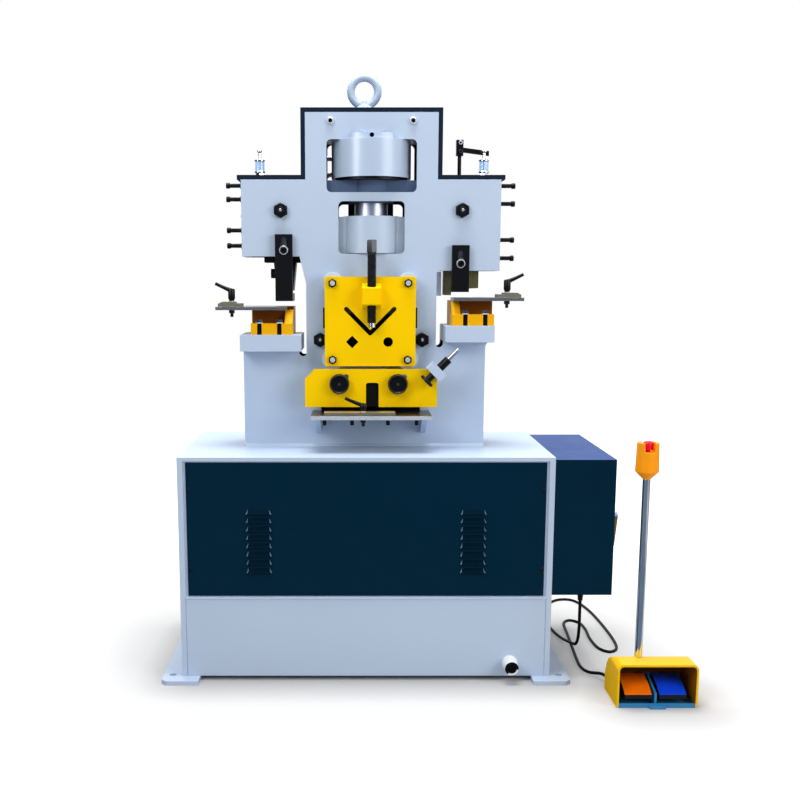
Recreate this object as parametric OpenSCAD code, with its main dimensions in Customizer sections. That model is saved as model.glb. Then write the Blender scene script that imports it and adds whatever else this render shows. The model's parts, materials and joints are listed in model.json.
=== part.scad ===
// Hydraulic ironworker: a base cabinet carries a double-plate frame in which one ram
// drives a punch, a notching tool, a section shear and a flat-bar shear.
// Millimetres. Origin on the floor at the middle of the four anchor holes,
// X to the right, Y to the back, Z up.

/* [Cabinet] */
// Width of the base cabinet
cab_w = 1140; // [1110:5:1160]
// Depth of the base cabinet
cab_d = 600; // [590:5:630]
// Height of the cabinet top above the floor
cab_top = 700; // [690:2:712]
// Thickness of the cabinet's side and rear sheet
sheet = 6; // [4:1:8]
// Thickness of the foot plates
foot_t = 14; // [10:1:18]
// Width of a foot plate
foot_w = 115; // [105:1:125]
// Length of a foot plate
foot_len = 700; // [680:5:720]
// Distance of an anchor hole from the foot's outer edge
anchor_in = 29; // [26:1:34]
// Distance of an anchor hole from the foot's end
anchor_end = 60; // [45:5:75]
// Diameter of an anchor hole
anchor_d = 22; // [18:1:26]
// Height of the louvred front panel
panel_h = 414; // [400:2:416]
// Width of one louvre
louvre_w = 82; // [70:1:95]
// Louvres in one stack
louvre_n = 8; // [5:1:9]

/* [Frame] */
// Place of the ram axis across the machine
ram_x = 18; // [10:1:26]
// Front face of the frame, from the anchor centre
frame_y = -50; // [-60:1:-40]
// Thickness of a frame plate
plate_t = 25; // [22:1:28]
// Gap between the two frame plates
plate_gap = 110; // [108:1:116]
// Width of the column and the tower
col_w = 410; // [404:1:418]
// Reach of the left arm from the ram axis
arm_l = 405; // [395:1:415]
// Reach of the right arm from the ram axis
arm_r = 402; // [395:1:412]
// Reach of the lower column to the left
base_l = 405; // [395:1:415]
// Reach of the lower column to the right
base_r = 362; // [355:1:372]
// Height of the tower above the arms
tower_h = 200; // [190:1:218]
// Depth of the left arm
arm_d = 233; // [228:1:240]
// Gap between the left shelf and the arm above it
throat_l = 241; // [236:1:250]
// Gap between the right shelf and the arm above it
throat_r = 169; // [162:1:176]
// Thickness of the navy frame covers
cover_t = 14; // [10:1:16]

/* [Ram] */
// Stroke of the ram
stroke = 40; // [30:1:40]
// Outer diameter of the cylinder barrel
barrel_d = 250; // [240:2:260]
// Bore of the cylinder
bore_d = 190; // [180:2:196]
// Diameter of the piston rod
rod_d = 104; // [96:1:106]
// Diameter of the ram head
head_d = 190; // [180:2:196]
// Height of the ram head
head_h = 115; // [110:1:116]

/* [Stations] */
// Height of the left shelf's top above the section cover's lower edge
shelf_rise_l = 97; // [92:1:102]
// Height of the right shelf's top above the section cover's lower edge
shelf_rise_r = 125; // [120:1:130]
// Thickness of a shelf
shelf_t = 51; // [45:1:56]
// Left tool axis
tool_l = -255; // [-258:1:-252]
// Right tool axis
tool_r = 296; // [293:1:299]
// Height of a die holder under its table
holder_h = 76; // [72:1:78]
// Thickness of a work table
table_t = 10; // [8:1:12]
// Diameter of the round punching die
die_d = 38; // [32:1:40]

/* [Section shear] */
// Centre line of the section shear
sec_x = 14; // [12:1:16]
// Width of the section-shear cover on each side of the bar passage
sec_side = 57; // [53:1:61]
// Height of the section-shear cover above the angle slot's ends
sec_over = 99; // [94:1:104]
// Width of the angle-iron slot
vee_w = 14; // [10:1:16]
// Side of the square-bar hole
square_bar = 28; // [22:1:30]
// Diameter of the round-bar hole
round_bar = 30; // [22:1:32]
// Diameter of the hold-down screw
hold_d = 29; // [24:1:32]

/* [Flat shear] */
// Height of the flat-bar table above the cabinet
flat_rise = 115; // [105:1:120]
// Width of the flat-bar table
flat_w = 372; // [360:2:390]
// Depth of the flat-bar table
flat_d = 170; // [160:1:180]
// Width of the hold-down guard
guard_w = 413; // [400:1:424]
// Height of the hold-down guard
guard_h = 118; // [112:1:118]
// Diameter of a guard knob
knob_d = 62; // [54:1:66]

/* [Electrical box] */
// Depth of the box body out from the cabinet
box_w = 166; // [150:2:180]
// Length of the box from front to back
box_len = 571; // [560:1:580]
// Height of the box
box_h = 420; // [410:1:424]
// Thickness of the box door
door_t = 18; // [14:1:22]

/* [Pedal station] */
// Width of the pedal guard
hood_w = 235; // [230:1:245]
// Height of the pedal guard
hood_h = 130; // [122:1:140]
// Diameter of the pole
pole_d = 22; // [18:1:26]
// Height of the pole's top
pole_top = 662; // [640:2:680]
// Diameter of the stop head
stop_d = 67; // [60:1:72]

/* [Hidden] */
$fn = 48;

// Colours
pale_blue = [0.72, 0.79, 0.88];
navy = [0.03, 0.13, 0.20];
yellow = [1.0, 0.82, 0.0];
amber = [0.87, 0.63, 0.0];
steel = [0.72, 0.73, 0.75];
chrome = [0.85, 0.86, 0.88];
black = [0.07, 0.07, 0.08];
brass = [0.78, 0.62, 0.25];
olive = [0.36, 0.36, 0.18];

// Cuts run past faces by over, moving flats keep slip, bolts have fit of radial room,
// and turning shafts have run_fit
over = 1;
slip = 0.3;
fit = 0.2;
run_fit = 0.05;

// Cabinet
cab_x = cab_w / 2;
cab_y = cab_d / 2;
front_t = 12;
top_t = 12;
foot_out = 59;
foot_chamfer = 16;
foot_x1 = cab_x + foot_out;
foot_x0 = foot_x1 - foot_w;
anchor_x = 2 * (foot_x1 - anchor_in);
anchor_y = foot_len - 2 * anchor_end;
post_w = 17;
panel_gap = 8;
panel_t = 3;
recess_deep = 6;
recess_x = cab_x - post_w;
panel_x = recess_x - panel_gap;
panel_drop = 16;
panel_z1 = cab_top - panel_drop;
panel_z0 = panel_z1 - panel_h;
panel_face = -cab_y + recess_deep - panel_t;
recess_edge = 4;
opening_edge = 20;
lip_h = 5;
lip_out = 3;
seam = 2;
louvre_r = 9;
louvre_h = 14;
louvre_skin = 2.5;
louvre_pitch = 26;
louvre_in = 219;
louvre_x = panel_x - louvre_in;
louvre_up = 178;
louvre_z0 = panel_z0 + louvre_up - louvre_n * louvre_pitch / 2;
panel_screw_in = 7;
panel_screw_up = 84;
panel_screw_x = panel_x - panel_screw_in;
panel_screw_z = [panel_z0 + panel_screw_up, panel_z1 - panel_screw_up];
screw_d = 6;
screw_head_d = 12;
screw_head_h = 4;
drain_in = 124;
drain_x = cab_x - drain_in;
drain_z = 55;
drain_d = 50;
drain_len = 52;
drain_tip_d = 42;
drain_plug_d = 31;
drain_plug_h = 5;
drain_bore_d = 24;
cable_hole_d = 40;
cable_hole_drop = 220;
cable_hole_z = cab_top - cable_hole_drop;

// Oil tank and the pump set on its lid
tank_gap = 16;
tank_side = 60;
tank_wall = 5;
tank_x = cab_x - sheet - tank_side;
tank_y0 = -cab_y + front_t + tank_gap;
tank_y1 = cab_y - sheet - tank_gap;
tank_z0 = foot_t + sheet;
tank_top = 250;
lid_t = 8;
lid_over = 6;
lid_top = tank_top + lid_t;
motor_d = 190;
motor_len = 270;
motor_x0 = 90;
motor_y = -60;
motor_lift = 125;
motor_z = lid_top + motor_lift;
motor_fins = 24;
fin_h = 10;
fin_t = 4;
cowl_d = 208;
cowl_len = 60;
flange_t = 14;
bell_d = 150;
bell_len = 90;
pump_w = 110;
pump_len = 120;
motor_foot_w = 150;
motor_foot_len = 180;
term_w = 90;
term_len = 110;
term_h = 60;
valve_w = 110;
valve_d = 130;
valve_h = 142;
valve_top = lid_top + valve_h;
coil_d = 46;
coil_len = 60;

// Heights up the frame, each from the one below it
guard_lift = 18;
sec_up = 9;
flat_top = cab_top + flat_rise;
guard_z0 = flat_top + guard_lift;
sec_z0 = guard_z0 + guard_h + sec_up;
shelf_top_l = sec_z0 + shelf_rise_l;
shelf_top_r = sec_z0 + shelf_rise_r;
arm_low_l = shelf_top_l + throat_l;
arm_low_r = shelf_top_r + throat_r;
arm_top = arm_low_l + arm_d;
tower_top = arm_top + tower_h;

// Frame places
y_f0 = frame_y;
y_f1 = y_f0 + plate_t;
y_r0 = y_f1 + plate_gap;
y_r1 = y_r0 + plate_t;
mid_y = (y_f1 + y_r0) / 2;
col_x0 = ram_x - col_w / 2;
col_x1 = ram_x + col_w / 2;
arm_x0 = ram_x - arm_l;
arm_x1 = ram_x + arm_r;
base_x0 = ram_x - base_l;
base_x1 = ram_x + base_r;
slit_w = 24;
slit_drop = 8;
flare_w = 20;
flare_h = 84;
corner_r = 10;
bead = 8;
wall_t = 25;
shelf_low_l = shelf_top_l - shelf_t;
shelf_low_r = shelf_top_r - shelf_t;
wall_rise = 55;
wall_low = flat_top + wall_rise;
wall_gap = 3;
win_side = 14.5;
win_below = 38;
win_above = 120;
win_hi_w = barrel_d + 2 * win_side;
win_hi_z0 = arm_top - win_below;
win_hi_z1 = arm_top + win_above;
win_r = 15;
win_bar = 27;
win_slack = 5;
head_room = 8;
win_lo_w = head_d + 2 * head_room;
win_lo_z1 = win_hi_z0 - win_bar;
win_lo_z0 = win_lo_z1 - head_h - stroke - win_slack;
block_in = 35;
block_w = col_w - 2 * block_in;
seat_h = 51;
seat_low = arm_top - seat_h;
rib_out = 17;
rib_h = 78;
cover_over = 12;
shield_side = 21;
shield_w = rod_d + 2 * shield_side;
shield_deep = 40;
shield_t = 3;
shield_over = 15;
shield_z = [win_lo_z0 - shield_over, win_lo_z1 + shield_over];

// Cylinder and ram
head_gap = 1;
head_z0 = win_lo_z0 + head_gap;
head_z1 = head_z0 + head_h;
gland_d = 143;
gland_low = head_z1 + stroke + head_gap;
gland_room = 1.5;
neck_h = 7;
barrel_low = arm_top + neck_h;
neck_d = 228;
barrel_top = win_hi_z1;
barrel_floor = 14;
bore_low = barrel_low + barrel_floor;
piston_gap = 2;
piston_h = 32;
bore_top = bore_low + piston_h + stroke + 2 * piston_gap;
piston_z = bore_low + piston_gap;
port_w = 132;
port_h = 17;
port_rim = 7;
port_hole_d = 14;
port_nub_d = 12;
port_nub_x = 34;
port_nub_h = 6;
slide_y0 = y_f1 + slip;
slide_y1 = y_r0 - slip;
stem_x0 = col_x0 + wall_t + slip;
stem_x1 = col_x1 - wall_t - slip;
slide_rise = 25;
slide_low = flat_top + slide_rise;
slide_lift = 4;
slide_arm_low = max(arm_low_l, arm_low_r) + slide_lift;
slide_room = 11;
slide_arm_top = arm_top - stroke - slide_room;
head_stand = 2;
slide_mid_top = head_z1 - head_stand;
notch_room = 13;
slide_notch_w = block_w + 2 * notch_room;
gib_t = 15;
gib_w = 90;
gib_edge = 7;
gib_z0 = slide_arm_low + gib_edge;
gib_z1 = arm_top - gib_edge;
slide_x0 = arm_x0 + wall_t + gib_t + slip;
slide_x1 = arm_x1 - wall_t - gib_t - slip;
gib_screw_d = 14;
gib_screw_out = 54;
gib_head_d = 18;
gib_head_h = 12;
gib_nut_af = 20;
gib_nut_h = 9;
gib_shares_l = [0.052, 0.232, 0.644, 0.85];
gib_shares_r = [0.047, 0.246, 0.65, 0.856];
gib_z_l = [for (d = gib_shares_l) arm_top - d * arm_d];
gib_z_r = [for (d = gib_shares_r) arm_top - d * (arm_top - arm_low_r)];
gib_stub_d = 11;
gib_stub_out = 9;
gib_stub_shares = [0.455, 0.536];
guide_d = 20;
guide_nut_af = 41;
guide_nut_h = 16;
guide_end = 7;
guide_hi_in = 120;
guide_hi_x = min(arm_l, arm_r) - guide_hi_in;
guide_hi_share = 0.4;
guide_hi_z = arm_top - guide_hi_share * arm_d;
guide_lo_in = 44;
guide_lo_x = col_w / 2 - guide_lo_in;
guide_lo_up = 79;
guide_lo_z = sec_z0 + guide_lo_up;
guide_places = [for (s = [-1, 1]) each [[ram_x + s * guide_hi_x, guide_hi_z],
                                        [ram_x + s * guide_lo_x, guide_lo_z]]];

// Eye bolt, oil cups, tower screws and stroke rod
eye_off = 22;
eye_x = ram_x - eye_off;
eye_ring_d = 24;
eye_mean_r = 42;
eye_collar_d = 65;
eye_collar_h = 16;
eye_shank_d = 30;
eye_floor = 20;
eye_shank = tower_top - win_hi_z1 - eye_floor;
eye_mid = 58;
cup_in = [56, 50];
cup_x = [arm_x0 + cup_in[0], arm_x1 - cup_in[1]];
cup_y = 0;
cup_d = 34;
cup_shank_d = 12;
cup_nut_af = 24;
cup_nut_h = 10;
cup_disc_h = 5;
cup_glass_h = 30;
cup_glass_t = 3;
cup_stem_d = 10;
cup_stem_h = 22;
cup_knob_d = 15;
cup_knob_h = 8;
cup_pin_d = 5;
tower_screw_in = 78;
tower_screw_drop = 26;
tower_screw_x = col_w / 2 - tower_screw_in;
tower_screw_z = tower_top - tower_screw_drop;
cap_d = 21;
cap_h = 10;
cap_shank_d = 14;
cap_shank = 60;
trip_x = tool_r;
trip_d = 12;
trip_rise = 127;
trip_top = arm_top + trip_rise;
trip_block_w = 22;
trip_block_h = 48;
trip_arm_w = 16;
trip_arm_h = 14;
trip_arm_len = 92;
trip_drop = 22;

// Hydraulic pipes on the rear plate
pipe_d = 16;
pipe_bore = 10;
pipe_bend = 25;
pipe_in = 27;
pipe_pitch = 26;
pipe_xs = [col_x0 + pipe_in, col_x0 + pipe_in + pipe_pitch];
pipe_up = [81, 31];
pipe_zs = [for (u = pipe_up) arm_top + u];
pipe_off = 16;
pipe_y = y_r1 + pipe_off;
pipe_end = 118;
pipe_end_x = ram_x - pipe_end;
pipe_room = 0.5;
clamp_up = 180;
clamp_drop = 8;
clamp_zs = [cab_top + clamp_up, arm_low_l - clamp_drop];
clamp_h = 26;
clamp_w = 62;
clamp_deep = 30;
boss_edge = 6;
boss_w = 60;

// Tool stations, left then right: side sign, tool axis, shelf top, shelf ends, table ends
side = [-1, 1];
tool_x = [tool_l, tool_r];
shelf_z = [shelf_top_l, shelf_top_r];
shelf_lip = 10;
shelf_in = [col_x0 - slit_w + shelf_lip, col_x1 + slit_w];
shelf_past = [4, 20];
shelf_out = [base_x0 - shelf_past[0], base_x1 + shelf_past[1]];
shelf_front = 72;
shelf_y0 = y_f0 - shelf_front;
holder_in = 27;
holder_out = 103;
holder_base = 35;
holder_edge = 14;
holder_y0 = shelf_y0 + holder_edge;
holder_y1 = y_r1 - holder_edge;
holder_wall = 20;
holder_ledge = 55;
ledge_y = holder_y0 + holder_ledge;
cheek_w = 25;
seat_in = 35;
seat_front = 45;
seat_back = 40;
slot_w = 14;
slot_deep = 26;
bolt_u = [14, 76];
bolt_d = 12;
bolt_hole = 34;
bolt_af = 19;
bolt_head = 9;
washer_d = 24;
washer_t = 3;
scrap_d = 24;
table_in = [8, 23];
table_out = [211, 194];
table_front = 6;
table_back = 4;
table_y0 = shelf_y0 + table_front;
table_y1 = holder_y1 + table_back;
table_gap = 2;
table_slot_w = 11;
stop_u = [165, 147];
stop_front = 15;
stop_y = y_f0 - stop_front;
stop_out = 40;
stop_in = 13;
stop_chamfer = 6;
stop_deep = 70;
stop_h = 15;
stop_travel = 60;
stop_nose = 21;
stop_nose_h = 10;
stud_d = 10;
stud_nut_af = 17;
stud_nut_h = 10;
stud_tail = 22;
lever_hub_d = 22;
lever_hub_h = 40;
lever_neck_h = 10;
lever_len = 50;
lever_rise = 22;
lever_tip_d = 10;
lever_arm_d = 12;
lever_root_d = 15;
notch_die_w = 88;
notch_slot_w = 24;
die_bore = 22;

// Strippers and ram tools
strip_w = 54;
strip_t = 22;
strip_lift = 17;
strip_over = [67, 78];
strip_bolt_up = [18, 21];
strip_top = [arm_low_l, arm_low_r] + strip_over;
strip_bolt_z = [arm_low_l, arm_low_r] + strip_bolt_up;
strip_slot_w = 16;
strip_slot = 32;
strip_back = [110, 24];
strip_foot_h = 24;
strip_bolt_d = 14;
strip_head_d = 24;
strip_head_h = 12;
strip_washer_d = 30;
strip_washer_t = 2;
punch_d = 24;
punch_room = 5;
holder_top_w = 70;
holder_low_w = 52;
holder_deep = 92;
punch_flange_w = 106;
punch_flange_h = 22;
punch_knob_d = 30;
punch_knob_len = 12;
punch_knob_drop = 56;
punch_knob_z = slide_arm_low - punch_knob_drop;
punch_lift = 21;
punch_end = shelf_top_l + holder_h + table_t + punch_lift;
punch_out = 28;
holder_low = punch_end + punch_out;
notch_in = 45;
notch_out = 62;
notch_lift = 25;
notch_rise = 4;
notch_x0 = tool_r - notch_in;
notch_x1 = tool_r + notch_out;
notch_low = shelf_top_r + holder_h + table_t + notch_lift;
notch_blade_w = 21;
notch_blade_drop = 18;
notch_blade_low = notch_low - notch_blade_drop;
notch_edge = 8;
notch_y = [y_f1 + notch_edge, y_r0 - notch_edge];

// Section shear
sec_gap = 50;
sec_t = 12;
sec_r = 8;
sec_y1 = y_f0 - sec_gap;
sec_y0 = sec_y1 - sec_t;
sec_inset_x = 24;
sec_inset_z = 20;
vee_up = 102;
vee_arm = 105;
vee_reach = vee_arm * cos(45);
vee_apex = sec_z0 + vee_up;
pass_side = 9.75;
pass_low = 52;
pass_high = 15.75;
pass_w = 2 * (vee_reach + pass_side);
pass_z = [sec_z0 + pass_low, vee_apex + vee_reach + pass_high];
sec_w = pass_w + 2 * sec_side;
sec_h = vee_up + vee_reach + sec_over;
sec_bolt_x = sec_w / 2 - sec_inset_x;
sec_bolt_z = [sec_z0 + sec_inset_z, sec_z0 + sec_h - sec_inset_z];
sec_boss_d = 66;
sec_bolt_d = 16;
sec_nut_af = 24;
sec_nut_h = 12;
sec_end = 5;
bar_x = 56;
bar_up = 75;
bar_z = sec_z0 + bar_up;
fixed_t = 44;
fixed_side = 8;
fixed_edge = 6;
fixed_gap = 2;
fixed_w = pass_w + 2 * fixed_side;
fixed_z = [pass_z[0] - fixed_edge, sec_bolt_z[1] - sec_boss_d / 2 - fixed_gap];
lug_side = 63;
lug_up = [117, 180];
lug_w = pass_w + 2 * lug_side;
lug_z = [for (u = lug_up) sec_z0 + u];
moving_t = 30;
moving_edge = 6;
moving_w = pass_w + 2 * moving_edge;
hold_x = ram_x;
hold_boss_w = 58;
hold_boss_deep = 46;
hold_boss_drop = 35;
hold_boss_h = 49;
hold_boss_top = sec_z0 + sec_h - hold_boss_drop;
hold_boss_z = [hold_boss_top - hold_boss_h, hold_boss_top];
hold_boss_slope = 14;
hold_y = sec_y0 - hold_boss_deep / 2;
hold_up = 135;
hold_len = 251;
hold_z = [sec_z0 + hold_up, sec_z0 + hold_up + hold_len];
hold_drive = 38;
hold_drive_d = 30;
hold_tip_d = 22;
hold_tip_h = 14;
hold_pin_d = 10;
hold_pin_len = 12;

// Flat shear
shear_x = 17;
flat_t = 12;
flat_y0 = y_f0 - flat_d;
flat_slot_w = 12;
flat_slot = [-80, 70];
blade_w = 316;
blade_h = 25;
throat_h = 35;
upper_h = 60;
upper_dip = 9;
bracket_t = 17;
bracket_in = 19;
bracket_x = flat_w / 2 - bracket_in;
bracket_deep = 110;
bracket_h = 62;
table_bolt_d = 12;
table_bolt_h = 22;
table_bolt_shares = [-0.39, -0.16, 0.14, 0.38];
table_bolt_in = 55;
fence_len = 218;
fence_off = 145;
fence_x0 = shear_x - fence_off;
fence_h = 10;
fence_deep = 45;
fence_in = 6;
fence_lever_in = 120;
fence_lever_x = fence_x0 + fence_lever_in;
fence_lever_len = 56;
fence_hub_h = 26;
guard_x0 = shear_x - guard_w / 2;
guard_t = 12;
guard_gap = 60;
guard_y1 = y_f0 - guard_gap;
guard_y0 = guard_y1 - guard_t;
guard_chamfer = 30;
guard_slot_w = 17;
guard_slot = 30;
arch_off = 4;
arch_x = shear_x + arch_off;
knob_left = 103;
knob_right = 79;
knob_drop = 45;
knob_x = [arch_x - knob_left, arch_x + knob_right];
knob_z = guard_z0 + guard_h - knob_drop;
knob_h = 26;
knob_rim = 6;
knob_dish = 4;
knob_stud_d = 16;
knob_stud_in = 16;
knob_sleeve_d = 30;
arch_w = 40;
arch_drop = 42;
arch_top = guard_z0 + guard_h - arch_drop;
arch_r = 8;
shoe_edge = 7;
shoe_lift = 2;
shoe_deep = 30;
tilt_block = 57;
tilt_block_h = 29;
tilt_block_deep = 50;
tilt_rod_d = 14;
tilt_sleeve_d = 26;
tilt_sleeve_h = 38;
tilt_rod_len = 110;
tilt_neck_d = 22;
tilt_neck_h = 22;
tilt_foot_d = 47;
tilt_foot_h = 10;
tilt_gap = 2;
tilt_y = guard_y0 - tilt_foot_d / 2 - tilt_gap;
tilt_at = [guard_x0 + guard_w - guard_chamfer / 2, guard_z0 + guard_h - guard_chamfer / 2];

// Electrical box
box_in = 2;
box_y0 = -cab_y + box_in;
box_drop = 7;
box_z1 = cab_top - box_drop;
box_z0 = box_z1 - box_h;
box_x0 = cab_x;
box_x1 = cab_x + box_w;
box_y1 = box_y0 + box_len;
box_wall = 3;
box_rim = 16;
hinge_d = 12;
hinge_pin_d = 6;
hinge_x = box_x1 + slip;
hinge_gap = 1;
hinge_y = box_y1 + hinge_d / 2 + hinge_gap;
hinge_h = 80;
hinge_in = 60;
hinge_zs = [box_z0 + hinge_in, box_z1 - hinge_in - hinge_h];
hinge_leaf = 22;
latch_in = 48;
latch_y = box_y0 + latch_in;
latch_up = 148;
latch_len = 103;
latch_z = [box_z0 + latch_up, box_z0 + latch_up + latch_len];
latch_out = 18;
latch_w = 24;
latch_pivot = 14;
latch_pin_d = 14;
latch_bar_t = 8;
latch_gap = 2;
mount_t = 3;
mount_edge = 30;
mount_off = 12;
standoff_d = 12;
rail_h = 35;
rail_t = 8;
rail_in = 125;
rail_zs = [box_z0 + rail_in, box_z1 - rail_in];
relay_w = 45;
relay_h = 80;
relay_deep = 70;
relay_n = 5;
relay_pitch = 78;
gland_out = 107;
gland_in = 88;
gland_x = cab_x + gland_out;
gland_y = box_y0 + gland_in;
gland_len = 42;
gland_thread_d = 20;
gland_nut_af = 27;
gland_nut_h = 12;
gland_cone_d = 15;

// Pedal station
hood_out = 156;
hood_ahead = 232;
hood_deep = 160;
hood_x0 = cab_x + hood_out;
hood_x1 = hood_x0 + hood_w;
hood_y0 = -cab_y - hood_ahead;
hood_y1 = hood_y0 + hood_deep;
hood_t = 6;
hood_r = 18;
hood_step = 30;
hood_flat = 60;
ped_plate_t = 6;
ped_tab_w = 45;
ped_tab = 12;
ped_tab_x = 95;
ped_w = 79;
ped_in = 24;
ped_pitch = 101;
ped_x = [ped_in, ped_in + ped_pitch];
ped_mid_w = 6;
ped_mid_h = 52;
ped_front = 6;
ped_back = 42;
ped_y0 = hood_y0 + ped_front;
ped_y1 = hood_y1 - ped_back;
ped_hinge_z = 58;
ped_hinge_d = 10;
ped_front_z = 38;
ped_t = 13;
ped_crown = 9;
ped_steps = 8;
ped_lip_t = 4;
ped_lip_h = 13;
ped_ear_w = 6;
ped_ear_h = 14;
pole_in = 77;
pole_x = hood_x0 + pole_in;
pole_y = hood_y0 + pole_in;
stop_cone = 22;
stop_head_h = 106;
stop_top = pole_top + stop_head_h;
stop_wall = 12;
stop_taper = 5;
stop_floor = 57;
stop_gap_w = 30;
button_d = 31;
button_rise = 4;
button_top = stop_top + button_rise;
button_stem_d = 14;
button_skirt = 12;
conn_in = 12;
conn_x = hood_x0 + conn_in;
conn_z = 24;
conn_d = 20;
conn_len = 26;

// Pedal cable: the route from the gland to the pedal station, chosen by hand
cable_d = 10;
cable_sides = 8;
cable_ring = 42;
cable_route = [[677, -210, 231], [677, -210, 190], [679, -200, 140], [685, -160, 90], [692, -95, 50],
               [697, -30, 29], [693, 30, 16], [682, 95, 7], [668, 180, 5], [660, 290, 5], [672, 410, 5],
               [708, 515, 5], [760, 575, 5], [815, 560, 5], [845, 440, 5], [857, 260, 5], [858, 80, 5],
               [846, -15, 5], [815, -46, 5], [787, -5, 5], [780, 95, 5], [786, 200, 5], [779, 275, 5],
               [749, 306, 5], [722, 268, 5], [713, 165, 5], [704, 40, 5], [694, -90, 5], [690, -190, 5],
               [702, -255, 10], [729, -296, 20], [738, -326, 24], [738, -346, 24]];

// Shapes that repeat
module box3(x, y, z) {
  translate([x[0], y[0], z[0]]) cube([x[1] - x[0], y[1] - y[0], z[1] - z[0]]);
}
module plate_xz(y0, y1) {
  translate([0, y1, 0]) rotate([90, 0, 0]) linear_extrude(y1 - y0) children();
}
module plate_yz(x0, x1) {
  translate([x0, 0, 0]) rotate([90, 0, 90]) linear_extrude(x1 - x0) children();
}
module plate_xy(z0, z1) {
  translate([0, 0, z0]) linear_extrude(z1 - z0) children();
}
module cyl_x(x0, x1, y, z, d) {
  translate([x0, y, z]) rotate([0, 90, 0]) cylinder(d = d, h = x1 - x0);
}
module cyl_y(x, z, y0, y1, d) {
  translate([x, y1, z]) rotate([90, 0, 0]) cylinder(d = d, h = y1 - y0);
}
module cyl_z(x, y, z0, z1, d) {
  translate([x, y, z0]) cylinder(d = d, h = z1 - z0);
}
module hex(af) {
  circle(d = af / cos(30), $fn = 6);
}
module round_rect(w, h, r) {
  square([w - 2 * r, h], center = true);
  square([w, h - 2 * r], center = true);
  for (sx = side, sy = side) translate([sx * (w / 2 - r), sy * (h / 2 - r)]) circle(r);
}
module slot_2d(len, w) {
  circle(d = w);
  translate([0, -w / 2]) square([len, w]);
  translate([len, 0]) circle(d = w);
}
function ends(a, b) = [min(a, b), max(a, b)];
function about(c, w) = [c - w / 2, c + w / 2];
function inside(r, e) = [r[0] + e, r[1] - e];

// Base cabinet
module base_cabinet() {
  color(pale_blue) difference() {
    union() {
      box3([-cab_x, cab_x], [-cab_y, cab_y], [foot_t, cab_top]);
      box3([-recess_x, recess_x], [-cab_y - lip_out, -cab_y + over],
           [panel_z0 - recess_edge - lip_h, panel_z0 - recess_edge]);
    }
    box3([-cab_x + sheet, cab_x - sheet], [-cab_y + front_t, cab_y - sheet],
         [foot_t + sheet, cab_top - top_t]);
    box3([-recess_x, recess_x], [-cab_y - over, -cab_y + recess_deep],
         [panel_z0 - recess_edge, panel_z1 + recess_edge]);
    box3([-panel_x + opening_edge, panel_x - opening_edge], [-cab_y, -cab_y + front_t + over],
         [panel_z0 + opening_edge, panel_z1 - opening_edge]);
    for (s = side)
      translate([s * recess_x, 0, 0])
        box3([-seam / 2, seam / 2], [-cab_y - over, -cab_y + seam],
             [foot_t - over, panel_z0 - recess_edge - lip_h]);
    for (x = pipe_xs)
      cyl_z(x, pipe_y, cab_top - top_t - over, cab_top + over, pipe_d + 2 * pipe_room);
    cyl_y(drain_x, drain_z, -cab_y - over, -cab_y + front_t + over, drain_bore_d + 2 * fit);
    cyl_x(cab_x - sheet - over, cab_x + over, 0, cable_hole_z, cable_hole_d);
  }
}

module foot_plates() {
  color(pale_blue) for (s = side) difference() {
    plate_xy(0, foot_t) polygon([
      [s * foot_x0, -foot_len / 2], [s * (foot_x1 - foot_chamfer), -foot_len / 2],
      [s * foot_x1, -foot_len / 2 + foot_chamfer], [s * foot_x1, foot_len / 2 - foot_chamfer],
      [s * (foot_x1 - foot_chamfer), foot_len / 2], [s * foot_x0, foot_len / 2]]);
    for (t = side) cyl_z(s * anchor_x / 2, t * anchor_y / 2, -over, foot_t + over, anchor_d);
  }
}

// A louvre stands out of the sheet as a long cone that is open underneath
module louvre_form() {
  span = louvre_w - 2 * louvre_r;
  for (s = side) translate([s * span / 2, 0, 0]) cylinder(r1 = louvre_r, r2 = 0, h = louvre_h);
  plate_yz(-span / 2, span / 2) polygon([[-louvre_r, 0], [louvre_r, 0], [0, louvre_h]]);
}
module louvre_grid() {
  for (s = side, i = [0 : louvre_n - 1])
    translate([s * louvre_x, panel_face, louvre_z0 + i * louvre_pitch]) children();
}
module front_panel() {
  color(navy) difference() {
    union() {
      box3([-panel_x, panel_x], [panel_face, panel_face + panel_t], [panel_z0, panel_z1]);
      louvre_grid() louvre_form();
    }
    louvre_grid() translate([0, 0, -louvre_skin]) louvre_form();
    box3([-panel_x, panel_x], [panel_face + panel_t, panel_face + panel_t + 2 * louvre_r],
         [panel_z0, panel_z1]);
    for (s = side, z = panel_screw_z)
      cyl_y(s * panel_screw_x, z, panel_face - over, panel_face + panel_t + over, screw_d + 2 * fit);
  }
}

module cap_screws() {
  color(black) {
    for (s = side, z = panel_screw_z) {
      cyl_y(s * panel_screw_x, z, panel_face - screw_head_h, panel_face, screw_head_d);
      cyl_y(s * panel_screw_x, z, panel_face, panel_face + panel_t, screw_d);
    }
    for (s = side) {
      cyl_y(ram_x + s * tower_screw_x, tower_screw_z, y_f0 - cap_h, y_f0, cap_d);
      cyl_y(ram_x + s * tower_screw_x, tower_screw_z, y_f0, y_f0 + cap_shank, cap_shank_d);
    }
    for (i = [0, 1]) {
      y = y_f0 - strip_t - slip;
      cyl_y(tool_x[i], strip_bolt_z[i], y - strip_washer_t, y, strip_washer_d);
      cyl_y(tool_x[i], strip_bolt_z[i], y - strip_washer_t - strip_head_h, y - strip_washer_t, strip_head_d);
      cyl_y(tool_x[i], strip_bolt_z[i], y, y_f1, strip_bolt_d);
    }
  }
}

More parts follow.
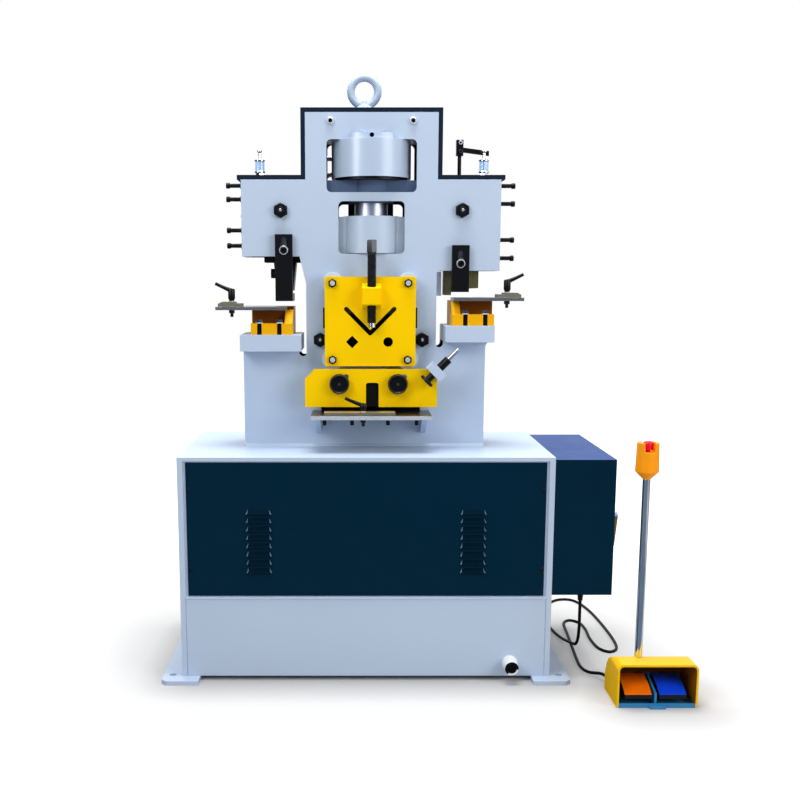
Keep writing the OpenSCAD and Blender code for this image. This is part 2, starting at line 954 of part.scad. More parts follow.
module oil_drain() {
  color("whitesmoke") difference() {
    union() {
      translate([drain_x, -cab_y, drain_z]) rotate([90, 0, 0])
        cylinder(d1 = drain_d, d2 = drain_tip_d, h = drain_len);
      cyl_y(drain_x, drain_z, -cab_y, tank_y0, drain_bore_d);
    }
    cyl_y(drain_x, drain_z, -cab_y - drain_len - over, -cab_y - drain_len + drain_plug_h, drain_plug_d);
  }
  color(black)
    cyl_y(drain_x, drain_z, -cab_y - drain_len, -cab_y - drain_len + drain_plug_h,
          drain_plug_d - 2 * run_fit);
}

module oil_tank() {
  color(steel) difference() {
    box3([-tank_x, tank_x], [tank_y0, tank_y1], [tank_z0, tank_top]);
    box3([-tank_x + tank_wall, tank_x - tank_wall], [tank_y0 + tank_wall, tank_y1 - tank_wall],
         [tank_z0 + tank_wall, tank_top + over]);
  }
}

// Motor, bell housing, gear pump and valve block on the tank lid
module power_pack() {
  motor_x1 = motor_x0 + motor_len;
  bell_x0 = motor_x0 - bell_len;
  pump_x0 = bell_x0 - pump_len;
  color(steel) box3([-tank_x - lid_over, tank_x + lid_over], [tank_y0 - lid_over, tank_y1 + lid_over],
                    [tank_top, lid_top]);
  color(pale_blue) {
    cyl_x(motor_x0, motor_x1, motor_y, motor_z, motor_d);
    translate([motor_x0 + flange_t, motor_y, motor_z]) rotate([0, 90, 0])
      for (a = [0 : motor_fins - 1]) rotate(a * 360 / motor_fins)
        translate([motor_d / 2 - over, -fin_t / 2, 0]) cube([fin_h, fin_t, motor_len - 2 * flange_t]);
    cyl_x(motor_x1, motor_x1 + cowl_len, motor_y, motor_z, cowl_d);
    box3([motor_x0 + flange_t, motor_x0 + motor_foot_len], about(motor_y, motor_foot_w),
         [lid_top, motor_z - motor_d / 4]);
    box3([motor_x0 + motor_len / 3, motor_x0 + motor_len / 3 + term_len], about(motor_y, term_w),
         [motor_z + motor_d / 4, motor_z + motor_d / 2 + term_h]);
  }
  color(steel) {
    cyl_x(bell_x0, motor_x0, motor_y, motor_z, bell_d);
    box3([pump_x0, bell_x0], about(motor_y, pump_w), about(motor_z, pump_w));
  }
  valve_mid = (pipe_xs[0] + pipe_xs[1]) / 2;
  color(black) {
    box3(about(valve_mid, valve_w), about(pipe_y, valve_d),
         [lid_top, valve_top]);
    for (s = side)
      translate([valve_mid + s * (valve_w + coil_len) / 2, 0, 0])
        cyl_x(-coil_len / 2, coil_len / 2, pipe_y, (lid_top + valve_top) / 2, coil_d);
  }
}

// Outline shared by both frame plates, with the windows and the passages for the bars
module frame_outline() {
  difference() {
    union() {
      polygon([[base_x0, cab_top], [base_x1, cab_top], [base_x1, shelf_low_r],
               [col_x1 + slit_w, shelf_low_r], [col_x1 + slit_w, shelf_low_r - slit_drop],
               [col_x1, shelf_low_r - slit_drop], [col_x1, arm_low_r], [arm_x1, arm_low_r],
               [arm_x1, arm_top], [col_x1, arm_top], [col_x1, tower_top], [col_x0, tower_top],
               [col_x0, arm_top], [arm_x0, arm_top], [arm_x0, arm_low_l],
               [col_x0 - flare_w, arm_low_l], [col_x0, arm_low_l - flare_h],
               [col_x0, shelf_low_l - slit_drop], [col_x0 - slit_w, shelf_low_l - slit_drop],
               [col_x0 - slit_w, shelf_low_l], [base_x0, shelf_low_l]]);
      translate([col_x1, arm_low_r]) inner_corner(corner_r);
      translate([base_x1, shelf_low_r]) inner_corner(shelf_out[1] - base_x1);
    }
    translate([col_x0 - slit_w / 2, shelf_low_l - slit_drop]) circle(d = slit_w);
    translate([col_x1 + slit_w / 2, shelf_low_r - slit_drop]) circle(d = slit_w);
    translate([ram_x, (win_hi_z0 + win_hi_z1) / 2]) round_rect(win_hi_w, win_hi_z1 - win_hi_z0, win_r);
    translate([ram_x, (win_lo_z0 + win_lo_z1) / 2]) round_rect(win_lo_w, win_lo_z1 - win_lo_z0, win_r);
    translate([sec_x - pass_w / 2, pass_z[0]]) square([pass_w, pass_z[1] - pass_z[0]]);
    translate([shear_x - blade_w / 2, flat_top - blade_h]) square([blade_w, blade_h + throat_h]);
  }
}
// Fillet in a corner that faces right and down
module inner_corner(r) {
  difference() {
    translate([0, -r]) square(r);
    translate([r, -r]) circle(r);
  }
}
module gland_relief() {
  cyl_z(ram_x, mid_y, gland_low - over, arm_top, gland_d + 2 * gland_room);
}
module weld_bead(y, out) {
  plate_yz(base_x0, base_x1) polygon([[y, cab_top], [y + out * bead, cab_top], [y, cab_top + bead]]);
}
module front_frame_plate() {
  color(pale_blue) {
    difference() {
      plate_xz(y_f0, y_f1) frame_outline();
      gland_relief();
      for (p = guide_places) cyl_y(p[0], p[1], y_f0 - over, y_f1 + over, guide_d + 2 * fit);
      for (s = side)
        cyl_y(ram_x + s * tower_screw_x, tower_screw_z, y_f0 - over, y_f1 + over, cap_shank_d + 2 * fit);
      for (i = [0, 1])
        cyl_y(tool_x[i], strip_bolt_z[i], y_f0 - over, y_f1 + over, strip_bolt_d + 2 * fit);
      for (s = side, z = sec_bolt_z)
        cyl_y(sec_x + s * sec_bolt_x, z, y_f0 - over, y_f1 + over, sec_bolt_d + 2 * fit);
      for (x = knob_x) cyl_y(x, knob_z, y_f0 - over, y_f1 + over, knob_stud_d + 2 * fit);
    }
    weld_bead(y_f0, -1);
  }
}
module rear_frame_plate() {
  color(pale_blue) {
    difference() {
      plate_xz(y_r0, y_r1) frame_outline();
      gland_relief();
    }
    weld_bead(y_r1, 1);
  }
}

// Walls and blocks welded between the plates
module frame_spacers() {
  color(pale_blue) {
    for (w = [[arm_x0, arm_low_l, gib_z_l], [arm_x1 - wall_t, arm_low_r, gib_z_r]]) difference() {
      box3([w[0], w[0] + wall_t], [y_f1, y_r0], [w[1], arm_top]);
      for (z = w[2]) cyl_x(w[0] - over, w[0] + wall_t + over, mid_y, z, gib_screw_d + 2 * fit);
    }
    for (w = [[base_x0, cab_top, shelf_low_l], [base_x1 - wall_t, cab_top, shelf_low_r],
              [col_x0, wall_low, arm_low_l - wall_gap], [col_x1 - wall_t, wall_low, arm_low_r - wall_gap]])
      box3([w[0], w[0] + wall_t], [y_f1, y_r0], [w[1], w[2]]);
    box3([col_x1, col_x1 + rib_out], [y_f1, y_r0], [arm_low_r - rib_h, arm_low_r - wall_gap]);
    difference() {
      box3(about(ram_x, block_w), [y_f1, y_r0], [win_hi_z1, tower_top]);
      cyl_z(eye_x, mid_y, tower_top - eye_shank, tower_top + over, eye_shank_d + 2 * fit);
      for (s = side)
        cyl_y(ram_x + s * tower_screw_x, tower_screw_z, y_f1 - over, y_f0 + cap_shank + over,
              cap_shank_d + 2 * fit);
    }
    difference() {
      box3(about(ram_x, block_w), [y_f1, y_r0], [seat_low, arm_top]);
      cyl_z(ram_x, mid_y, seat_low - over, arm_top + over, gland_d + 2 * fit);
    }
  }
}

// Navy covers round the tower, over the arms and behind the ram head
module frame_covers() {
  color(navy) {
    difference() {
      plate_xz(y_f0, y_r1) polygon([
        [col_x0 - cover_t, arm_top + cover_t], [col_x0, arm_top + cover_t], [col_x0, tower_top],
        [col_x1, tower_top], [col_x1, arm_top + cover_t], [col_x1 + cover_t, arm_top + cover_t],
        [col_x1 + cover_t, tower_top + cover_t], [col_x0 - cover_t, tower_top + cover_t]]);
      cyl_z(eye_x, mid_y, tower_top - over, tower_top + cover_t + over, eye_shank_d + 2 * fit);
    }
    difference() {
      box3([arm_x0 - cover_over, col_x0], [y_f0, y_r1], [arm_top, arm_top + cover_t]);
      cyl_z(cup_x[0], cup_y, arm_top - over, arm_top + cover_t + over, cup_shank_d + 2 * fit);
    }
    difference() {
      box3([col_x1, arm_x1 + cover_over], [y_f0, y_r1], [arm_top, arm_top + cover_t]);
      cyl_z(cup_x[1], cup_y, arm_top - over, arm_top + cover_t + over, cup_shank_d + 2 * fit);
      cyl_z(trip_x, mid_y, arm_top - over, arm_top + cover_t + over, trip_d + 2 * over);
    }
    difference() {
      box3(about(ram_x, shield_w), [y_r1, y_r1 + shield_deep], shield_z);
      box3([ram_x - shield_w / 2 + shield_t, ram_x + shield_w / 2 - shield_t],
           [y_r1 - over, y_r1 + shield_deep - shield_t], [shield_z[0] - over, shield_z[1] + over]);
    }
  }
}

module lifting_eye() {
  z0 = tower_top + cover_t;
  color(steel) {
    cyl_z(eye_x, mid_y, z0 - cover_t - eye_shank, z0, eye_shank_d);
    translate([eye_x, mid_y, z0])
      cylinder(d1 = eye_collar_d, d2 = eye_collar_d - eye_collar_h, h = eye_collar_h);
    translate([eye_x, mid_y, z0 + eye_mid]) rotate([90, 0, 0]) rotate_extrude()
      translate([eye_mean_r, 0]) circle(d = eye_ring_d);
  }
}

// A side screw with its lock nut, from the wall at x towards the side s
module gib_screw(x, z, s) {
  outer = x + s * gib_screw_out;
  head = outer - s * gib_head_h;
  shank = ends(x - s * wall_t, head);
  heads = ends(head, outer);
  cyl_x(shank[0], shank[1], mid_y, z, gib_screw_d);
  cyl_x(heads[0], heads[1], mid_y, z, gib_head_d);
  nut = ends(x, x + s * gib_nut_h);
  translate([nut[0], mid_y, z]) rotate([0, 90, 0]) linear_extrude(gib_nut_h) hex(gib_nut_af);
}
module adjusting_screws() {
  color(black) {
    for (z = gib_z_l) gib_screw(arm_x0, z, -1);
    for (z = gib_z_r) gib_screw(arm_x1, z, 1);
    cyl_x(arm_x0 - gib_stub_out, arm_x0, mid_y, arm_top - gib_stub_shares[0] * arm_d, gib_stub_d);
    cyl_x(arm_x1, arm_x1 + gib_stub_out, mid_y, arm_top - gib_stub_shares[1] * arm_d, gib_stub_d);
    for (p = guide_places) {
      cyl_y(p[0], p[1], y_f0 - guide_nut_h - guide_end, y_f1, guide_d);
      plate_xz(y_f0 - guide_nut_h, y_f0) translate(p) hex(guide_nut_af);
    }
  }
}
module gib_strips() {
  color(brass) {
    box3([arm_x0 + wall_t, arm_x0 + wall_t + gib_t], about(mid_y, gib_w), [gib_z0, gib_z1]);
    box3([arm_x1 - wall_t - gib_t, arm_x1 - wall_t], about(mid_y, gib_w), [gib_z0, gib_z1]);
  }
}

// Drip oilers on the arm covers
module oil_cups() {
  z0 = arm_top + cover_t;
  z1 = z0 + cup_nut_h;
  z2 = z1 + cup_disc_h;
  z3 = z2 + cup_glass_h;
  z4 = z3 + cup_disc_h;
  color(chrome) for (x = cup_x) {
    cyl_z(x, cup_y, arm_top, z0, cup_shank_d);
    translate([x, cup_y, z0]) linear_extrude(cup_nut_h) hex(cup_nut_af);
    cyl_z(x, cup_y, z1, z2, cup_d);
    cyl_z(x, cup_y, z2, z3, cup_pin_d);
    cyl_z(x, cup_y, z3, z4, cup_d);
    cyl_z(x, cup_y, z4, z4 + cup_stem_h, cup_stem_d);
    cyl_z(x, cup_y, z4 + cup_stem_h, z4 + cup_stem_h + cup_knob_h, cup_knob_d);
  }
}
module oil_glasses() {
  z0 = arm_top + cover_t + cup_nut_h + cup_disc_h;
  color("lightcyan", 0.5) for (x = cup_x) difference() {
    cyl_z(x, cup_y, z0, z0 + cup_glass_h, cup_d - cup_glass_t);
    cyl_z(x, cup_y, z0 - over, z0 + cup_glass_h + over, cup_d - 3 * cup_glass_t);
  }
}

// Hydraulic cylinder with its gland ring and port block
module cylinder_barrel() {
  boss_x1 = ram_x - boss_w;
  color(pale_blue) {
    difference() {
      union() {
        cyl_z(ram_x, mid_y, barrel_low, barrel_top, barrel_d);
        cyl_z(ram_x, mid_y, arm_top, barrel_low, neck_d);
        box3([pipe_end_x, boss_x1], [y_r1 + over, pipe_y + pipe_d / 2 + boss_edge],
             [pipe_zs[1] - pipe_d, pipe_zs[0] + pipe_d]);
      }
      cyl_z(ram_x, mid_y, bore_low, bore_top, bore_d);
      cyl_z(ram_x, mid_y, arm_top - over, bore_low + over, rod_d + 2 * run_fit);
    }
    difference() {
      intersection() {
        cyl_z(ram_x, mid_y, barrel_top, barrel_top + port_h, barrel_d - 2 * port_rim);
        box3(about(ram_x, port_w), [mid_y - barrel_d, y_f0 - over],
             [barrel_top, barrel_top + port_h]);
      }
      cyl_y(ram_x, barrel_top + port_h / 2, mid_y - barrel_d, mid_y - barrel_d / 2 + 2 * port_hole_d,
            port_hole_d);
    }
    for (s = side)
      cyl_z(ram_x + s * port_nub_x, y_f0 - port_hole_d, barrel_top + port_h, barrel_top + port_h + port_nub_h,
            port_nub_d);
  }
  color(black) difference() {
    cyl_z(ram_x, mid_y, gland_low, arm_top, gland_d);
    cyl_z(ram_x, mid_y, gland_low - over, arm_top + over, rod_d + 2 * run_fit);
  }
}

// A pipe rises from the valve block, bends to the right and ends at the cylinder's boss
module pipe_run(x, z, d) {
  cyl_z(x, pipe_y, valve_top, z - pipe_bend, d);
  translate([x + pipe_bend, pipe_y, z - pipe_bend]) rotate([90, 0, 0]) rotate([0, 0, 90])
    rotate_extrude(angle = 90) translate([pipe_bend, 0]) circle(d = d);
  cyl_x(x + pipe_bend, pipe_end_x, pipe_y, z, d);
}
module hydraulic_pipes() {
  color(steel) for (i = [0, 1]) difference() {
    pipe_run(pipe_xs[i], pipe_zs[i], pipe_d);
    pipe_run(pipe_xs[i], pipe_zs[i], pipe_bore);
  }
  mid = (pipe_xs[0] + pipe_xs[1]) / 2;
  color(black) for (z = clamp_zs) difference() {
    box3(about(mid, clamp_w), [y_r1, y_r1 + clamp_deep], about(z, clamp_h));
    for (x = pipe_xs) cyl_z(x, pipe_y, z - clamp_h, z + clamp_h, pipe_d + 2 * run_fit);
  }
}

// Piston, rod and ram head
module piston_rod() {
  color(chrome) {
    cyl_z(ram_x, mid_y, head_z1, piston_z, rod_d);
    cyl_z(ram_x, mid_y, piston_z, piston_z + piston_h, bore_d - 2 * run_fit);
  }
}
module ram_head() {
  color(pale_blue) cyl_z(ram_x, mid_y, head_z0, head_z1, head_d);
}

// Angle slot, square hole and round hole of the section shear, as an outline
module section_holes(grow) {
  for (s = side)
    translate([sec_x, vee_apex]) rotate(90 - s * 45) slot_2d(vee_arm, vee_w + 2 * grow);
  translate([sec_x - bar_x, bar_z]) rotate(45) square(square_bar + 2 * grow, center = true);
  translate([sec_x + bar_x, bar_z]) circle(d = round_bar + 2 * grow);
}

// The slide carries the ram's force to the shears below and to the tools at both ends
module ram_slide() {
  notch_l = ram_x - slide_notch_w / 2;
  notch_r = ram_x + slide_notch_w / 2;
  color(steel) difference() {
    plate_xz(slide_y0, slide_y1) polygon([
      [stem_x0, slide_low], [stem_x1, slide_low], [stem_x1, slide_arm_low], [slide_x1, slide_arm_low],
      [slide_x1, slide_arm_top], [notch_r, slide_arm_top], [notch_r, slide_mid_top],
      [notch_l, slide_mid_top], [notch_l, slide_arm_top], [slide_x0, slide_arm_top],
      [slide_x0, slide_arm_low], [stem_x0, slide_arm_low]]);
    cyl_z(ram_x, mid_y, head_z0, slide_arm_top + over, head_d + 2 * fit);
    box3(about(sec_x, moving_w), [slide_y0 - over, slide_y0 + moving_t],
         [pass_z[0] - stroke - moving_edge, pass_z[1] - stroke + moving_edge]);
    box3(about(sec_x, pass_w), [slide_y0 - over, slide_y1 + over],
         [pass_z[0] - stroke, pass_z[1] - stroke]);
    box3(about(shear_x, blade_w), [slide_y0 - over, slide_y0 + moving_t],
         [slide_low - over, flat_top - upper_dip + upper_h]);
  }
}
module moving_blades() {
  color(black) {
    plate_xz(slide_y0, slide_y0 + moving_t) difference() {
      translate([sec_x - moving_w / 2, pass_z[0] - stroke - moving_edge])
        square([moving_w, pass_z[1] - pass_z[0] + 2 * moving_edge]);
      translate([0, -stroke]) section_holes(0);
    }
    box3(about(shear_x, blade_w), [slide_y0, slide_y0 + moving_t],
         [flat_top - upper_dip, flat_top - upper_dip + upper_h]);
  }
}

// Punch holder under the left end of the slide
module punch_holder() {
  x = tool_l;
  y0 = mid_y - holder_deep / 2;
  flange_low = slide_arm_low - punch_flange_h;
  color(black) {
    plate_xz(y0, y0 + holder_deep) polygon([
      [x - holder_low_w / 2, holder_low], [x + holder_low_w / 2, holder_low],
      [x + holder_top_w / 2, flange_low], [x + punch_flange_w / 2, flange_low],
      [x + punch_flange_w / 2, slide_arm_low], [x - punch_flange_w / 2 - punch_knob_len, slide_arm_low],
      [x - punch_flange_w / 2 - punch_knob_len, flange_low], [x - holder_top_w / 2, flange_low]]);
    cyl_x(x - holder_top_w / 2 - punch_knob_len, x, mid_y, punch_knob_z, punch_knob_d);
    cyl_z(x, mid_y, punch_end, holder_low + over, punch_d);
  }
}
// Notching tool under the right end of the slide
module notch_punch() {
  color(olive) plate_xz(notch_y[0], notch_y[1]) polygon([
    [notch_x0, notch_blade_low], [notch_x0 + notch_blade_w, notch_blade_low],
    [notch_x0 + notch_blade_w, notch_low], [notch_x1, notch_low + notch_rise], [notch_x1, slide_arm_low],
    [notch_x0, slide_arm_low]]);
}
// Stroke rod with its clamp block and the trip arm that slopes to the right
module stroke_rod() {
  block_z = trip_top - trip_block_h;
  color(black) {
    cyl_z(trip_x, mid_y, slide_arm_top, trip_top, trip_d);
    difference() {
      union() {
        box3(about(trip_x, trip_block_w),
             about(mid_y, trip_block_w), [block_z, trip_top]);
        plate_xz(mid_y - trip_arm_w / 2, mid_y + trip_arm_w / 2) polygon([
          [trip_x, trip_top - trip_drop - trip_arm_h], [trip_x + trip_arm_len, block_z],
          [trip_x + trip_arm_len, block_z + trip_arm_h], [trip_x, trip_top - trip_drop]]);
      }
      cyl_z(trip_x, mid_y, block_z - over, trip_top + over, trip_d + 2 * run_fit);
    }
  }
}

// Shelves, die holders and tables of station i
function at_u(i, u) = tool_x[i] + side[i] * u;
module span_u(i, u, y, z) {
  box3(ends(at_u(i, u[0]), at_u(i, u[1])), y, z);
}
module die_shelves() {
  color(pale_blue) for (i = [0, 1]) difference() {
    box3(ends(shelf_in[i], shelf_out[i]), [shelf_y0, y_r1], [shelf_z[i] - shelf_t, shelf_z[i]]);
    for (u = bolt_u)
      cyl_z(at_u(i, u), holder_y0 + slot_deep / 2, shelf_z[i] - bolt_hole, shelf_z[i] + over,
            bolt_d + 2 * fit);
    cyl_z(tool_x[i], mid_y, shelf_z[i] - shelf_t - over, shelf_z[i] + over, scrap_d);
  }
}
module die_holders() {
  color(amber) for (i = [0, 1]) {
    z0 = shelf_z[i];
    z1 = z0 + holder_base;
    z2 = z0 + holder_h;
    seat_u = (i == 0) ? seat_in : notch_die_w / 2 + holder_wall / 2;
    cheek = ends(at_u(i, -holder_in), at_u(i, cheek_w - holder_in));
    difference() {
      union() {
        span_u(i, [-holder_in, holder_out], [holder_y0, holder_y1], [z0, z1]);
        span_u(i, [-holder_in, holder_out], [holder_y1 - holder_wall, holder_y1], [z0, z2]);
        span_u(i, [-holder_in, seat_u], [mid_y - seat_front, holder_y1], [z0, (i == 0) ? z2 + table_t : z2]);
        span_u(i, [-holder_in, holder_out], [ledge_y, ledge_y + holder_wall], [z0, z2]);
        plate_yz(cheek[0], cheek[1]) polygon([
          [holder_y0, z1 - over], [holder_y0, z1], [ledge_y, z2], [ledge_y + over, z2],
          [ledge_y + over, z1 - over]]);
      }
      for (u = bolt_u)
        span_u(i, about(u, slot_w), [holder_y0 - over, holder_y0 + slot_deep],
               [z0 - over, z1 + over]);
      cyl_z(tool_x[i], mid_y, z0 - over, z2 + table_t + over, scrap_d);
      if (i == 0) cyl_z(tool_x[i], mid_y, z1, z2 + table_t + over, die_d + 2 * run_fit);
    }
  }
}
module dies() {
  z_l = shelf_top_l + holder_base;
  z_r = shelf_top_r + holder_h;
  color(steel) {
    difference() {
      cyl_z(tool_l, mid_y, z_l, shelf_top_l + holder_h + table_t, die_d);
      cyl_z(tool_l, mid_y, z_l - over, shelf_top_l + holder_h + table_t + over, die_bore);
    }
    difference() {
      box3(about(tool_r, notch_die_w), [mid_y - seat_front, mid_y + seat_back],
           [z_r, z_r + table_t]);
      box3([notch_x0 - over, notch_x0 + notch_slot_w + over], [notch_y[0] - over, notch_y[1] + over],
           [z_r - over, z_r + table_t + over]);
      cyl_z(tool_r, mid_y, z_r - over, z_r + table_t + over, scrap_d);
    }
  }
}
module work_tables() {
  color(steel) for (i = [0, 1]) {
    z0 = shelf_z[i] + holder_h;
    step_u = (i == 0) ? seat_in + table_gap : notch_die_w / 2 + holder_wall / 2 + table_gap;
    difference() {
      union() {
        span_u(i, [step_u, table_out[i]], [table_y0, table_y1], [z0, z0 + table_t]);
        span_u(i, [-table_in[i], step_u + over], [table_y0, mid_y - seat_front - table_gap],
               [z0, z0 + table_t]);
      }
      hull() for (u = [stop_u[i] - stop_travel - stud_d, stop_u[i] + stud_d])
        cyl_z(at_u(i, u), stop_y, z0 - over, z0 + table_t + over, table_slot_w);
    }
  }
}

// Length stop on a table: a block with a slanted outer end and a low tongue towards the tool
module length_stop(i) {
  z0 = shelf_z[i] + holder_h + table_t + slip;
  u0 = stop_u[i] - stop_in;
  u1 = stop_u[i] + stop_out;
  color(steel) difference() {
    union() {
      plate_xz(stop_y - stop_deep / 2, stop_y + stop_deep / 2) polygon([
        [at_u(i, u0), z0], [at_u(i, u1), z0], [at_u(i, u1), z0 + stop_h - stop_chamfer],
        [at_u(i, u1 - 2 * stop_chamfer), z0 + stop_h], [at_u(i, u0), z0 + stop_h]]);
      span_u(i, [u0 - stop_nose, u0 + over], about(stop_y, stop_deep), [z0, z0 + stop_nose_h]);
    }
    cyl_z(at_u(i, stop_u[i]), stop_y, z0 - over, z0 + stop_h + over, stud_d + 2 * run_fit);
  }
}
module left_stop() length_stop(0);
module right_stop() length_stop(1);

// Clamp lever with a hub, a rising handle, and the stud that it turns on
module clamp_lever(len, hub_h, tail) {
  cylinder(d1 = lever_root_d, d2 = lever_hub_d, h = lever_neck_h);
  translate([0, 0, lever_neck_h]) cylinder(d = lever_hub_d, h = hub_h - lever_neck_h);
  hull() {
    translate([0, 0, hub_h - lever_arm_d / 2]) sphere(d = lever_arm_d, $fn = 16);
    translate([len, 0, hub_h + lever_rise - lever_arm_d / 2]) sphere(d = lever_tip_d, $fn = 16);
  }
  translate([0, 0, -tail]) cylinder(d = stud_d, h = tail + over);
}
module stop_lever(i) {
  z_top = shelf_z[i] + holder_h + table_t + slip + stop_h + slip;
  tail = slip + stop_h + slip + table_t + stud_tail;
  nut_z = shelf_z[i] + holder_h - slip - stud_nut_h;
  color(black) {
    translate([at_u(i, stop_u[i]), stop_y, z_top]) rotate(i == 0 ? 180 : 0)
      clamp_lever(lever_len, lever_hub_h, tail);
    translate([at_u(i, stop_u[i]), stop_y, nut_z]) linear_extrude(stud_nut_h) hex(stud_nut_af);
  }
}
module left_stop_lever() stop_lever(0);
module right_stop_lever() stop_lever(1);

// Strippers hang on the front plate and straddle the tools
module stripper(i) {
  x = tool_x[i];
  y1 = y_f0 - slip;
  y0 = y1 - strip_t;
  z0 = shelf_z[i] + holder_h + table_t + strip_lift;
  color(black) difference() {
    union() {
      box3(about(x, strip_w), [y0, y1], [z0, strip_top[i]]);
      box3(about(x, strip_w), [y0, y1 + strip_back[i]], [z0, z0 + strip_foot_h]);
    }
    plate_xz(y0 - over, y1 + over) translate([x, strip_bolt_z[i]]) rotate(90)
      slot_2d(strip_slot, strip_slot_w);
    cyl_z(x, mid_y, z0 - over, z0 + strip_foot_h + over, punch_d + 2 * punch_room);
  }
}
module left_stripper() stripper(0);
module right_stripper() stripper(1);

// Hex bolts on the die holders, studs of the section cover with their spacers, guard studs
module hex_bolts() {
  color(steel) {
    for (i = [0, 1], u = bolt_u) {
      z = shelf_z[i] + holder_base;
      y = holder_y0 + slot_deep / 2;
      cyl_z(at_u(i, u), y, shelf_z[i] - bolt_hole, z, bolt_d);
      cyl_z(at_u(i, u), y, z, z + washer_t, washer_d);
      translate([at_u(i, u), y, z + washer_t]) linear_extrude(bolt_head) hex(bolt_af);
    }
    for (s = side, z = sec_bolt_z) {
      x = sec_x + s * sec_bolt_x;
      difference() {
        cyl_y(x, z, sec_y1, y_f0, sec_boss_d);
        cyl_y(x, z, sec_y1 - over, y_f0 + over, sec_bolt_d + 2 * fit);
      }
      cyl_y(x, z, sec_y0 - sec_nut_h - sec_end, y_f1, sec_bolt_d);
      plate_xz(sec_y0 - sec_nut_h, sec_y0) translate([x, z]) hex(sec_nut_af);
    }
    for (x = knob_x) {
      cyl_y(x, knob_z, guard_y0 - knob_stud_in, y_f1, knob_stud_d);
      difference() {
        cyl_y(x, knob_z, guard_y1 + slip, y_f0, knob_sleeve_d);
        cyl_y(x, knob_z, guard_y1 + slip - over, y_f0 + over, knob_stud_d + 2 * fit);
      }
    }
  }
}

// Section-shear cover with the boss of the hold-down screw
module section_cover() {
  color(yellow) difference() {
    union() {
      plate_xz(sec_y0, sec_y1) difference() {
        translate([sec_x, sec_z0 + sec_h / 2]) round_rect(sec_w, sec_h, sec_r);
        section_holes(0);
      }
      plate_yz(hold_x - hold_boss_w / 2, hold_x + hold_boss_w / 2) polygon([
        [sec_y0, hold_boss_z[0] - hold_boss_slope], [sec_y0 - hold_boss_deep, hold_boss_z[0]],
        [sec_y0 - hold_boss_deep, hold_boss_z[1]], [sec_y0, hold_boss_z[1] + hold_boss_slope]]);
    }
    cyl_z(hold_x, hold_y, sec_z0, sec_z0 + sec_h, hold_d + 2 * run_fit);
    for (s = side, z = sec_bolt_z)
      cyl_y(sec_x + s * sec_bolt_x, z, sec_y0 - over, sec_y1 + over, sec_bolt_d + 2 * fit);
  }
}
module fixed_blades() {
  color(black) {
    plate_xz(y_f0 - fixed_t, y_f0) difference() {
      union() {
        translate([sec_x - fixed_w / 2, fixed_z[0]]) square([fixed_w, fixed_z[1] - fixed_z[0]]);
        translate([sec_x - lug_w / 2, lug_z[0]]) square([lug_w, lug_z[1] - lug_z[0]]);
      }
      section_holes(over);
    }
    box3(about(shear_x, blade_w), [y_f0, y_f1], [flat_top - blade_h, flat_top]);
  }
}

// Hold-down screw and the swivel foot on its lower end
module hold_down_foot() {
  color(chrome) {
    cyl_z(hold_x, hold_y, hold_z[0] - slip - hold_tip_h, hold_z[0] - slip, hold_tip_d);
    cyl_z(hold_x, hold_y, hold_z[0] - slip, hold_z[0] + hold_pin_len, hold_pin_d);
  }
}
module hold_down_screw() {
  color(black) difference() {
    union() {
      cyl_z(hold_x, hold_y, hold_z[0], hold_z[1] - hold_drive, hold_d);
      cyl_z(hold_x, hold_y, hold_z[1] - hold_drive, hold_z[1], hold_drive_d, $fn = 4);
    }
    cyl_z(hold_x, hold_y, hold_z[0] - over, hold_z[0] + hold_pin_len + over, hold_pin_d + 2 * run_fit);
  }
}

// Places things on the slanted axis of the angle screw: local Z runs up and to the right
module on_tilt() {
  translate([tilt_at[0], tilt_y, tilt_at[1]]) rotate([0, 45, 0]) children();
}
module flat_guard() {
  x1 = guard_x0 + guard_w;
  z1 = guard_z0 + guard_h;
  color(yellow) plate_xz(guard_y0, guard_y1) difference() {
    polygon([[guard_x0, guard_z0], [x1, guard_z0], [x1, z1 - guard_chamfer], [x1 - guard_chamfer, z1],
             [guard_x0 + guard_chamfer, z1], [guard_x0, z1 - guard_chamfer]]);
    for (x = knob_x) translate([x, knob_z]) rotate(45) slot_2d(guard_slot, guard_slot_w);
    translate([arch_x - arch_w / 2, guard_z0 - over]) square([arch_w, arch_top - arch_r - guard_z0 + over]);
    translate([arch_x - arch_w / 2 + arch_r, guard_z0]) square([arch_w - 2 * arch_r, arch_top - guard_z0]);
    for (s = side) translate([arch_x + s * (arch_w / 2 - arch_r), arch_top - arch_r]) circle(arch_r);
  }
  color(black) box3(about(arch_x, arch_w + 2 * shoe_edge), [guard_y1, guard_y1 + shoe_deep],
                    [guard_z0 + shoe_lift, arch_top + shoe_edge]);
  color(steel) on_tilt() difference() {
    translate([-tilt_block / 2, guard_y1 - tilt_y - tilt_block_deep, 0])
      cube([tilt_block, tilt_block_deep, tilt_block_h]);
    translate([0, 0, -over]) cylinder(d = tilt_rod_d + 2 * run_fit, h = tilt_block_h + 2 * over);
  }
  color(black) on_tilt() translate([0, 0, tilt_block_h]) difference() {
    cylinder(d = tilt_sleeve_d, h = tilt_sleeve_h);
    translate([0, 0, -over]) cylinder(d = tilt_rod_d + 2 * run_fit, h = tilt_sleeve_h + 2 * over);
  }
}
module angle_screw() {
  color(chrome) on_tilt() {
    translate([0, 0, -slip]) cylinder(d = tilt_rod_d, h = tilt_rod_len);
    translate([0, 0, -slip - tilt_neck_h]) cylinder(d = tilt_neck_d, h = tilt_neck_h);
    translate([0, 0, -slip - tilt_neck_h - tilt_foot_h]) cylinder(d = tilt_foot_d, h = tilt_foot_h);
  }
}
